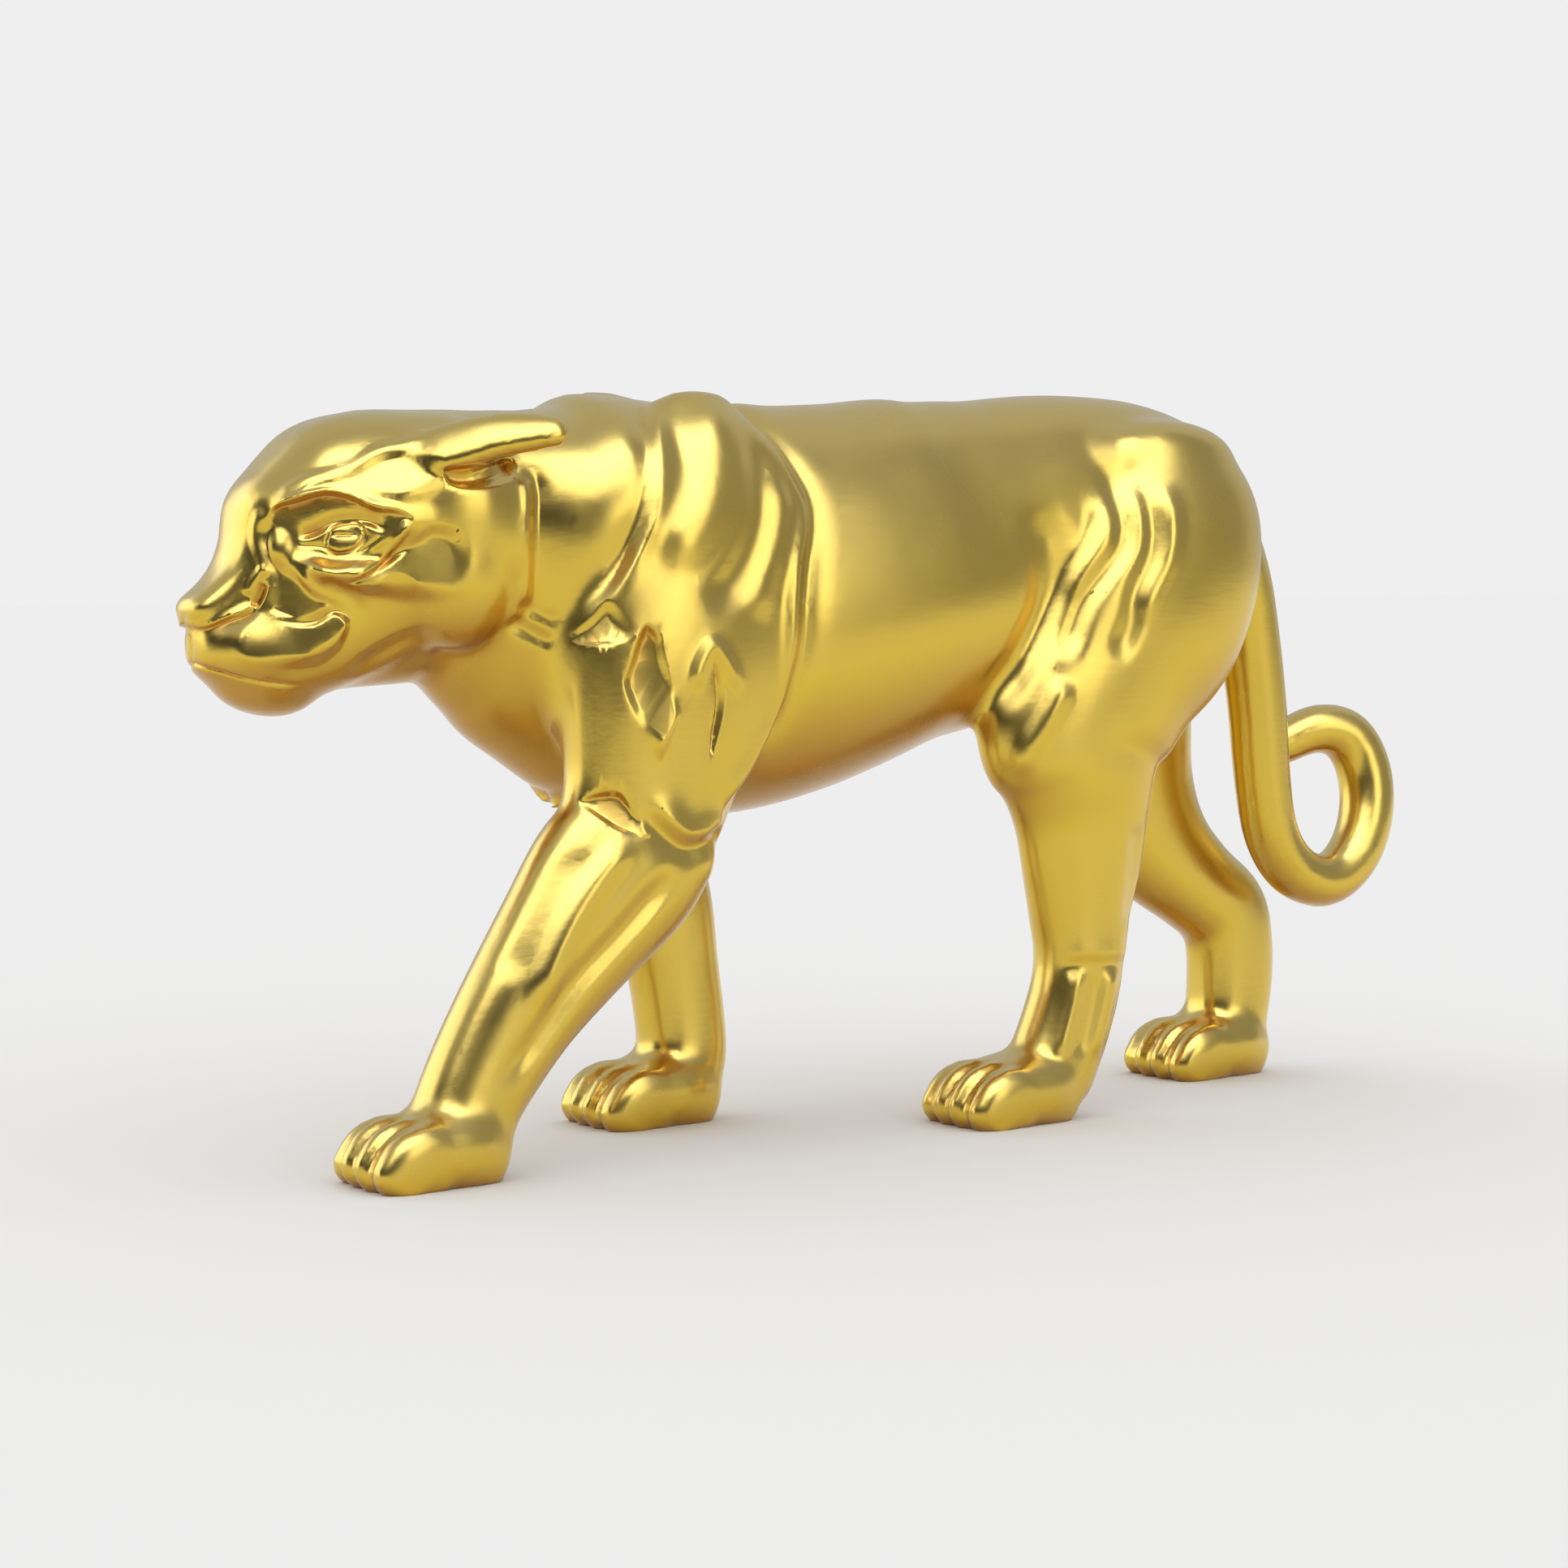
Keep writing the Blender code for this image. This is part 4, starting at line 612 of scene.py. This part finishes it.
# The head's flat planes, each cut inside an outline whose points end with the softness of the edge:
# the temple, the eye socket under the brow, the cheek, the side of the muzzle and the whisker pad.
for side in (LEFT, RIGHT):
    temple = patch(side, (-205, -23.5, 208, 3), (-197, -27.5, 210.5, 3), (-190, -31, 209.5, 3),
                   (-182, -33, 206, 4), (-174, -35, 204, 5), (-166, -37, 206, 7), (-160, -37, 211, 8),
                   (-161, -34.5, 218, 9), (-171, -29, 221.5, 5), (-179, -25, 218.5, 2.5),
                   (-187, -24, 214.5, 2), (-196, -22.5, 212, 2))
    clay.facet(temple, (-0.3, side * 0.85, 0.45), flat=0.9)
    socket = patch(side, (-210, -14, 196, 4), (-210, -18, 203.5, 1.5), (-204, -24, 206.5, 0.9),
                   (-197, -28, 208.5, 0.8), (-190, -31, 207, 0.8), (-183, -33, 203.5, 0.8),
                   (-176, -35, 202.5, 0.9), (-171, -36.5, 200, 1.4), (-173, -36, 196.5, 2.5),
                   (-178, -35, 190.5, 5), (-184, -33, 186, 7.5), (-191, -31, 183, 7.5),
                   (-197, -28, 183, 7), (-203, -21, 186.5, 6), (-208, -15.5, 190, 5))
    clay.facet(socket, (-0.48, side * 0.87, 0.1), depth=2.4, flat=0.95, tilt=0.09)
    cheek_plane = patch(side, (-172, -36, 194, 3), (-166, -37.5, 199, 5), (-156, -38.5, 197, 7),
                        (-151, -38.5, 187, 8), (-155, -37, 177, 8), (-168, -34, 174, 7),
                        (-182, -31, 176, 5), (-191, -29.5, 180, 2.5), (-184.5, -31, 184, 2),
                        (-178, -33.5, 188.5, 2))
    clay.facet(cheek_plane, (-0.45, side * 0.89, 0.0), depth=0.6, flat=0.9, tilt=0.24)
    muzzle_side = patch(side, (-211, -13, 196, 5), (-206, -16.5, 189, 5), (-202, -21, 184, 3),
                        (-198, -24, 178, 2.5), (-193, -25.5, 174, 2.5), (-199, -22.5, 170, 1.5),
                        (-206.5, -19, 170.5, 1.5), (-211, -16.5, 172.5, 4), (-210.5, -15.5, 181, 5),
                        (-211, -13, 189, 5))
    clay.facet(muzzle_side, (-0.5, side * 0.8, 0.35), depth=0.3, flat=0.7)
    whisker_pad = patch(side, (-213, -15.5, 170.5, 1.5), (-206.5, -19, 169.5, 1.4),
                        (-199, -22.5, 169, 1.4), (-193, -25.5, 172.5, 1.6), (-188.5, -27, 169, 1.8),
                        (-191, -26, 161, 3), (-198, -22, 155, 5), (-210, -18, 155, 5),
                        (-219, -12, 158, 5), (-219, -12, 165, 4))
    clay.facet(whisker_pad, (-0.5, side * 0.86, 0.0), depth=-1.5, flat=0.6, tilt=0.16)
    clay.refresh()

    # The brow's edge, the cheekbone's ridge and the ridges of the forehead and the muzzle
    brow = mirror(side, (-211, -13, 195), (-210.5, -18, 203.5), (-204, -24, 207.5), (-197, -28, 209),
                  (-190, -31, 208), (-183, -33, 204.5), (-176, -35, 203.5), (-170, -36.5, 200.5))
    clay.groove(brow, 2.6, -0.6, ends=(0.1, 0.15))
    cheekbone = mirror(side, (-172.5, -35.5, 201), (-173.3, -34.8, 198.3), (-174.5, -33.5, 195.6),
                       (-177, -32, 191.3), (-180.7, -31, 187.5), (-184.5, -30.3, 185.3),
                       (-189.3, -29.6, 184), (-193.3, -29, 182.4))
    clay.groove(clay.settle(cheekbone), 2.2, -1.1, ends=(0.15, 0.2))
    forehead = mirror(side, (-209, -17.5, 207), (-202.5, -20.5, 210.5), (-194, -23, 212.5),
                      (-186, -25, 215), (-178, -26, 220), (-171, -28, 222.5), (-163, -30, 227))
    clay.groove(forehead, 4.0, -1.0, ends=(0.1, 0.3))
    muzzle = mirror(side, (-209.5, -15.5, 182), (-211.5, -13.5, 190), (-212, -12.5, 197),
                    (-210.5, -15, 204))
    clay.groove(muzzle, 3.5, -0.9)
    # Creases round the whisker pad
    pad_rim = mirror(side, (-203, -21, 186), (-201, -23, 181), (-197.5, -24.5, 177.5),
                     (-192, -26.5, 174.5), (-188.5, -27.5, 171), (-190.5, -27, 165))
    clay.groove(pad_rim, 2.6, -1.1)
    behind_pad = mirror(side, (-199, -27, 182), (-194, -28, 178.5), (-188.5, -28.5, 176),
                        (-185.5, -28.5, 172), (-186.5, -27.5, 166), (-190, -25.5, 159))
    clay.groove(behind_pad, 4.0, 1.9, ends=(0.2, 0.3))
    # Inner corner of the eye
    clay.swell(mirror(side, (-206.5, -16.5, 191.5))[0], (5, 5, 7), 1.4)
    # Jaw, rear edge of the cheek over the neck, and the pocket under the ear
    clay.groove(mirror(side, (-186, -15, 152), (-177, -21, 158), (-167, -26, 162.5),
                       (-158, -29, 164)), 6.0, 1.3, ends=(0.3, 0.3))
    cheek = mirror(side, (-132, -36, 218), (-131, -37, 209), (-131.5, -38, 200), (-131.5, -37, 185),
                   (-132, -33, 173), (-139, -27, 165))
    clay.lip(cheek, 2.8, 2.2, 6.0, side=side, ends=(0.15, 0.3))
    clay.groove(mirror(side, (-136, -34, 174), (-130, -34, 172), (-122, -37, 168)), 4.0, 1.2)
    clay.groove(mirror(side, (-137, -31, 169), (-131, -31, 166), (-123, -35, 161)), 4.0, 1.2)
    pocket = patch(side, (-162, -38, 215.5, 2), (-154, -40, 217, 1.5), (-146, -40, 217.5, 1.5),
                   (-137, -40, 219, 2), (-136, -38, 213, 4), (-145, -37, 209, 4), (-154, -37, 208.5, 3),
                   (-160, -38, 210.5, 2))
    clay.facet(pocket, (-0.2, side * 0.98, 0.0), depth=3.5)
    clay.rub((-185, side * 26, 188), (30, 20, 38), 2)
    clay.refresh()
# The shallow furrow down the middle of the forehead
clay.groove([(-210, 0, 206), (-203, 0, 216), (-190, 0, 228), (-172, 0, 234)], 11.0, 0.7)
clay.refresh()

# The eyes, the nose and the mouth, cut with fine tools. Each line is first laid onto the skin.
for side in (LEFT, RIGHT):
    # The upper lid hangs over the eye, which bulges again below it and ends in the lower lid
    upper_lid = mirror(side, (-202, -17.8, 193.6), (-197.6, -20.5, 195), (-195.2, -21.8, 196.3),
                       (-193.2, -23.4, 197.6), (-190.3, -25.5, 198.6), (-186.5, -27.6, 198.8),
                       (-183, -29, 198.3), (-180.8, -29.7, 197.2), (-178.3, -30.4, 195.4))
    clay.lip(clay.settle(upper_lid), 0.25, 1.5, 2.8, edge=1.4, side=side, ends=(0.15, 0.15))
    clay.swell(clay.settle(mirror(side, (-189, -25, 192)))[0], (8.5, 6, 6), 1.3)
    clay.refresh()
    # The iris, its pupil and the line of the lower lid
    turns = [step * math.tau / 16 for step in range(18)]  # once round and a little over
    iris = [(-188.8 + 4.8 * math.cos(turn), side * (25.2 + 2.9 * math.cos(turn)),
             194.3 + 1.3 * math.cos(turn) + 4.0 * math.sin(turn)) for turn in turns]
    clay.groove(clay.settle(iris), 0.9, 0.6, ends=(0.02, 0.02))
    pupil = [(-189.3 + share * 3.4, side * (24.9 + share * 2.1), 194.6) for share in (-1, -0.3, 0.3, 1)]
    clay.groove(clay.settle(pupil), 0.9, 0.5, ends=(0.3, 0.3))
    lower_lid = mirror(side, (-203, -17.5, 193), (-199.5, -19, 192), (-195, -21.5, 191.6),
                       (-191, -23.5, 189.9), (-186, -26, 190.3), (-181, -28.5, 193.2),
                       (-178.5, -30.2, 195.4))
    clay.groove(clay.settle(lower_lid), 1.1, 0.35, ends=(0.15, 0.15))
    # Edge of the nose's leather, the nostril and the wing beside it, and the mouth
    leather = mirror(side, (-230, 0, 169.5), (-229, -3, 168.2), (-226, -7, 168), (-221.5, -11, 170),
                     (-216, -13.5, 172.3), (-213, -15, 175))
    clay.lip(clay.settle(leather), 0.9, 0.9, 2.2, edge=1.0, side=-side, ends=(0.12, 0.15))
    clay.groove(clay.settle(mirror(side, (-214.5, -14, 173.5), (-212.5, -15, 177),
                                   (-211, -15.5, 181))), 2.2, 1.6)
    clay.groove(clay.settle(mirror(side, (-210.5, -16, 186), (-213.5, -14, 182),
                                   (-216, -13, 177))), 2.6, -0.8)
    mouth = mirror(side, (-227.5, 0, 157), (-226, -5.5, 156), (-223, -9, 154.8), (-218, -13, 152.6),
                   (-211, -16, 150.6), (-204.5, -17, 149.6), (-198, -18, 149.2))
    clay.groove(clay.settle(mouth), 1.7, 0.9, sharp=True, ends=(0.02, 0.3))
    clay.refresh()
# The cleft of the upper lip
clay.groove(clay.settle([(-231, 0, 166), (-230, 0, 161), (-228.5, 0, 156)]), 2.2, 0.8, sharp=True)
clay.refresh()

# Finishing the skin: its soles are cut level, and it is thinned where it is flat. The finished casting
# takes the place and the size of the CAD body.
SOLE_CUT = 0.35
SKIN_TRIANGLES = 190000
CREASE_ROUNDS, CREASE_GAIN, CREASE_START = 10, 8.0, 0.12
UPWARD_MIDDLE, UPWARD_GAIN = 0.5, 0.62
thinner = panther.modifiers.new("thinner", "DECIMATE")
thinner.ratio = SKIN_TRIANGLES / (2 * len(panther.data.polygons))
thinner.use_collapse_triangulate = True
bpy.ops.object.modifier_apply(modifier="thinner")

spots = read(panther.data.vertices, "co", 3)
spots[:, 2] = np.where(spots[:, 2] < SOLE_CUT * MM, 0.0, spots[:, 2])

# Two values kept on the skin for its finish and its painted light: how far it faces up, which sets
# painted shade below and a painted pale reflection on top, and how deep it lies in a crease, which sets
# painted shade and a duller polish there
normals = read(panther.data.vertices, "normal", 3)
pairs = read(panther.data.edges, "vertices", 2, np.int32)
ends, others = pairs.T.ravel(), pairs[:, ::-1].T.ravel()
count = np.bincount(ends, minlength=len(spots))
near = np.stack([np.bincount(ends, spots[others, axis]) / count for axis in range(3)], axis=1)
length = np.bincount(ends, np.linalg.norm(spots[ends] - spots[others], axis=1)) / count
crease = ((near - spots) * normals).sum(axis=1) / length**2 * MM
for _ in range(CREASE_ROUNDS):
    crease = 0.5 * crease + 0.5 * np.bincount(ends, crease[others]) / count
upward = smooth(UPWARD_MIDDLE + UPWARD_GAIN * normals[:, 2])
crease = smooth(crease * CREASE_GAIN - CREASE_START)
for name, values in (("crease", crease), ("upward", upward)):
    layer = panther.data.attributes.new(name, "FLOAT", "POINT")
    layer.data.foreach_set("value", values)
low, high = spots.min(axis=0), spots.max(axis=0)
spots = (spots - low) / (high - low) * np.array(high_corner - low_corner) + np.array(low_corner)
panther.data.vertices.foreach_set("co", spots.ravel())
panther.data.update()
bpy.ops.object.shade_smooth()
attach(panther, "root")
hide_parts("panther")

# The gold plating on polished steel, rubbed by hand to a satin gloss under a clear lacquer. Its colour
# is paler on top as a painted reflection of the bright roof, orange below as painted shade, and redder
# in the creases as painted shade; the creases are also duller, and its polish is a little uneven.
gold = bpy.data.materials.new("gold_plated_steel")
gold.use_nodes = True
nodes, links = gold.node_tree.nodes, gold.node_tree.links
shader = nodes["Principled BSDF"]
shader.inputs["Metallic"].default_value = 1.0
shader.inputs["Coat Weight"].default_value = 0.8
shader.inputs["Coat Roughness"].default_value = 0.3
shader.inputs["Coat IOR"].default_value = 1.55
place = nodes.new("ShaderNodeTexCoord")
rise = nodes.new("ShaderNodeAttribute")
rise.attribute_name = "upward"
hollow = nodes.new("ShaderNodeAttribute")
hollow.attribute_name = "crease"

# Colour, with painted light: painted orange shade underneath, deep gold on the sides, a painted pale
# reflection above, and painted red shade in the creases
UNDERSIDE_SHADE_GOLD, DEEP_GOLD = (0.50, 0.25, 0.012, 1.0), (0.77, 0.52, 0.032, 1.0)
TOP_REFLECTION_GOLD, CREASE_SHADE_GOLD = (0.80, 0.61, 0.17, 1.0), (0.58, 0.29, 0.02, 1.0)
DEEP_AT = 0.36
# Sockets of a mix node: its factor, the first and second colour going in, and the mixed one coming out
FACTOR, FIRST, SECOND, MIXED = 0, 6, 7, 2
# Painted light by facing: painted shade where the skin faces down, a painted pale reflection where it
# faces up
facing_light_ramp = nodes.new("ShaderNodeValToRGB")
facing_light_ramp.color_ramp.elements[0].color = UNDERSIDE_SHADE_GOLD
facing_light_ramp.color_ramp.elements[1].color = TOP_REFLECTION_GOLD
facing_light_ramp.color_ramp.elements.new(DEEP_AT).color = DEEP_GOLD
links.new(rise.outputs["Fac"], facing_light_ramp.inputs["Fac"])
# Painted shade in the creases: the colour turns redder where the skin lies deep in a crease
crease_shade_mix = nodes.new("ShaderNodeMix")
crease_shade_mix.data_type = "RGBA"
crease_shade_mix.inputs[SECOND].default_value = CREASE_SHADE_GOLD
links.new(hollow.outputs["Fac"], crease_shade_mix.inputs[FACTOR])
links.new(facing_light_ramp.outputs["Color"], crease_shade_mix.inputs[FIRST])
links.new(crease_shade_mix.outputs[MIXED], shader.inputs["Base Color"])

# Polish: soft cloudy patches, and fine marks of the buffing wheel that run along the body
POLISHED, SATIN, DULLED = 0.22, 0.30, 0.12
MARKS_PER_METRE = (60.0, 420.0, 420.0)
MARK_DEPTH = 0.00012
clouds = nodes.new("ShaderNodeTexNoise")
clouds.inputs["Scale"].default_value = 26.0
clouds.inputs["Detail"].default_value = 4.0
links.new(place.outputs["Object"], clouds.inputs["Vector"])
cloudy = nodes.new("ShaderNodeMapRange")
for name, value in (("From Min", 0.3), ("From Max", 0.7), ("To Min", POLISHED), ("To Max", SATIN)):
    cloudy.inputs[name].default_value = value
links.new(clouds.outputs["Fac"], cloudy.inputs["Value"])
duller = nodes.new("ShaderNodeMath")
duller.operation = "MULTIPLY_ADD"
duller.inputs[1].default_value = DULLED
links.new(hollow.outputs["Fac"], duller.inputs[0])
links.new(cloudy.outputs["Result"], duller.inputs[2])
links.new(duller.outputs[0], shader.inputs["Roughness"])
stretch = nodes.new("ShaderNodeMapping")
stretch.inputs["Scale"].default_value = MARKS_PER_METRE
links.new(place.outputs["Object"], stretch.inputs["Vector"])
marks = nodes.new("ShaderNodeTexNoise")
marks.inputs["Scale"].default_value = 1.0
marks.inputs["Detail"].default_value = 3.0
links.new(stretch.outputs["Vector"], marks.inputs["Vector"])
relief = nodes.new("ShaderNodeBump")
relief.inputs["Strength"].default_value = 0.25
relief.inputs["Distance"].default_value = MARK_DEPTH
links.new(marks.outputs["Fac"], relief.inputs["Height"])
links.new(relief.outputs["Normal"], shader.inputs["Normal"])
panther.data.materials.clear()
panther.data.materials.append(gold)

# The floor: a sheet of pale paper that runs out past the view, under an even white sky. The sky lights
# the floor a little more strongly than it looks itself.
SKY = 1.07
BACKGROUND = 0.863
FLOOR_SIZE = 24.0
bpy.ops.mesh.primitive_plane_add(size=FLOOR_SIZE, location=(0.0, 0.0, 0.0))
floor = bpy.context.object
floor.name = "studio_floor"
paper = bpy.data.materials.new("pale_paper")
paper.use_nodes = True
shader = paper.node_tree.nodes["Principled BSDF"]
shader.inputs["Base Color"].default_value = (0.8, 0.8, 0.8, 1.0)
shader.inputs["Roughness"].default_value = 1.0
shader.inputs["Specular IOR Level"].default_value = 0.0
floor.data.materials.append(paper)
world = bpy.data.worlds.new("studio")
bpy.context.scene.world = world
world.use_nodes = True
nodes, links = world.node_tree.nodes, world.node_tree.links
seen = nodes.new("ShaderNodeLightPath")
either = nodes.new("ShaderNodeMath")
either.operation = "MAXIMUM"
any_seen = nodes.new("ShaderNodeMath")
any_seen.operation = "MAXIMUM"
strength = nodes.new("ShaderNodeMapRange")
strength.inputs["To Min"].default_value = SKY
strength.inputs["To Max"].default_value = BACKGROUND
links.new(seen.outputs["Is Camera Ray"], either.inputs[0])
links.new(seen.outputs["Is Glossy Ray"], either.inputs[1])
links.new(either.outputs[0], any_seen.inputs[0])
links.new(seen.outputs["Is Transmission Ray"], any_seen.inputs[1])
links.new(any_seen.outputs[0], strength.inputs["Value"])
links.new(strength.outputs["Result"], nodes["Background"].inputs["Strength"])
nodes["Background"].inputs["Color"].default_value = (1.0, 1.0, 1.0, 1.0)

# The light tent that polished metal needs: a dome of cloth round the stand, which only the gold sees.
# It has a dull roof, a dark side where the photographer stands, and soft boxes.
TENT_RADIUS = 4.0
CARD_FIELDS = ("Azimuth", "Elevation", "Half Width", "Half Height", "Feather", "Brightness")
card = bpy.data.node_groups.new("tent_card", "ShaderNodeTree")
card.interface.new_socket("Direction", in_out="INPUT", socket_type="NodeSocketVector")
for name in ("Behind", *CARD_FIELDS):
    card.interface.new_socket(name, in_out="INPUT", socket_type="NodeSocketFloat")
card.interface.new_socket("Light", in_out="OUTPUT", socket_type="NodeSocketFloat")
entry = card.nodes.new("NodeGroupInput")
leave = card.nodes.new("NodeGroupOutput")


def work(operation, *values):
    """One math step inside the card group, fed by sockets or plain numbers."""
    step = card.nodes.new("ShaderNodeMath")
    step.operation = operation
    for socket, value in zip(step.inputs, values):
        if isinstance(value, bpy.types.NodeSocket):
            card.links.new(value, socket)
        else:
            socket.default_value = value
    return step.outputs[0]


parts = card.nodes.new("ShaderNodeSeparateXYZ")
card.links.new(entry.outputs["Direction"], parts.inputs[0])
east, north, rise = parts.outputs
turn = work("MULTIPLY", entry.outputs["Azimuth"], math.radians(1.0))
ahead = work("ADD", work("MULTIPLY", east, work("COSINE", turn)),
             work("MULTIPLY", north, work("SINE", turn)))
aside = work("SUBTRACT", work("MULTIPLY", north, work("COSINE", turn)),
             work("MULTIPLY", east, work("SINE", turn)))
off_azimuth = work("MULTIPLY", work("ARCTAN2", aside, ahead), math.degrees(1.0))
off_elevation = work("SUBTRACT", work("MULTIPLY", work("ARCSINE", rise), math.degrees(1.0)),
                     entry.outputs["Elevation"])
past_side = work("SUBTRACT", work("ABSOLUTE", off_azimuth), entry.outputs["Half Width"])
past_top = work("SUBTRACT", work("ABSOLUTE", off_elevation), entry.outputs["Half Height"])
fade_side = work("SUBTRACT", 1.0, work("DIVIDE", past_side, entry.outputs["Feather"]))
fade_top = work("SUBTRACT", 1.0, work("DIVIDE", past_top, entry.outputs["Feather"]))
inside = work("MULTIPLY", work("MINIMUM", work("MAXIMUM", fade_side, 0.0), 1.0),
              work("MINIMUM", work("MAXIMUM", fade_top, 0.0), 1.0))
change = work("SUBTRACT", entry.outputs["Brightness"], entry.outputs["Behind"])
light = work("ADD", entry.outputs["Behind"], work("MULTIPLY", change, inside))
card.links.new(light, leave.inputs["Light"])

# Cards: azimuth from +X towards +Y, elevation, half width, half height and feather, all in degrees, then
# brightness. Each covers the ones before it.
CARDS = [("back_wall", 50, 30, 75, 40, 12, 0.50), ("photographer", 236, 17.5, 58, 11.5, 5, 0.02),
         ("front_box", 258, 52, 38, 14, 12, 2.6), ("right_box", 293, 27, 13, 17, 10, 1.9),
         ("right_wall", 325, 30, 20, 25, 12, 0.3), ("left_box", 140, 18, 28, 14, 12, 1.6)]
ROOF = 0.45
bpy.ops.mesh.primitive_uv_sphere_add(segments=64, ring_count=32, radius=TENT_RADIUS)
tent = bpy.context.object
tent.name = "light_tent"
bpy.ops.object.shade_smooth()
cloth = bpy.data.materials.new("tent_cloth")
cloth.use_nodes = True
nodes, links = cloth.node_tree.nodes, cloth.node_tree.links
nodes.remove(nodes["Principled BSDF"])
glow = nodes.new("ShaderNodeEmission")
links.new(glow.outputs[0], nodes["Material Output"].inputs["Surface"])
place = nodes.new("ShaderNodeTexCoord")
outward = nodes.new("ShaderNodeVectorMath")
outward.operation = "NORMALIZE"
links.new(place.outputs["Object"], outward.inputs[0])
behind = None
for label, *values in CARDS:
    group = nodes.new("ShaderNodeGroup")
    group.node_tree = card
    group.label = label
    links.new(outward.outputs[0], group.inputs["Direction"])
    if behind is None:
        group.inputs["Behind"].default_value = ROOF
    else:
        links.new(behind, group.inputs["Behind"])
    for name, value in zip(CARD_FIELDS, values):
        group.inputs[name].default_value = value
    behind = group.outputs["Light"]
links.new(behind, glow.inputs["Strength"])
tent.data.materials.append(cloth)
tent.visible_camera = False
tent.visible_diffuse = False
tent.visible_shadow = False

# The camera stands level with the shoulder, to the animal's left and ahead of it. Its lens and its drop
# are given in pixels of the photo, whose side is PHOTO_SIDE long.
PHOTO_SIDE, LENS_PIXELS, DROP_PIXELS = 1932, 4800, 286
SENSOR_WIDTH = 36.0
CAMERA_PLACE = (-0.70524, -1.08296, 0.190)
CAMERA_YAW = 32.0
CAMERA_DROP = math.degrees(math.atan(DROP_PIXELS / LENS_PIXELS))
bpy.ops.object.camera_add(location=CAMERA_PLACE)
camera = bpy.context.object
camera.rotation_euler = (math.radians(90.0 - CAMERA_DROP), 0.0, math.radians(-CAMERA_YAW))
camera.data.sensor_width = SENSOR_WIDTH
camera.data.lens = SENSOR_WIDTH * LENS_PIXELS / PHOTO_SIDE
bpy.context.scene.camera = camera
bpy.context.scene.view_settings.view_transform = "Standard"
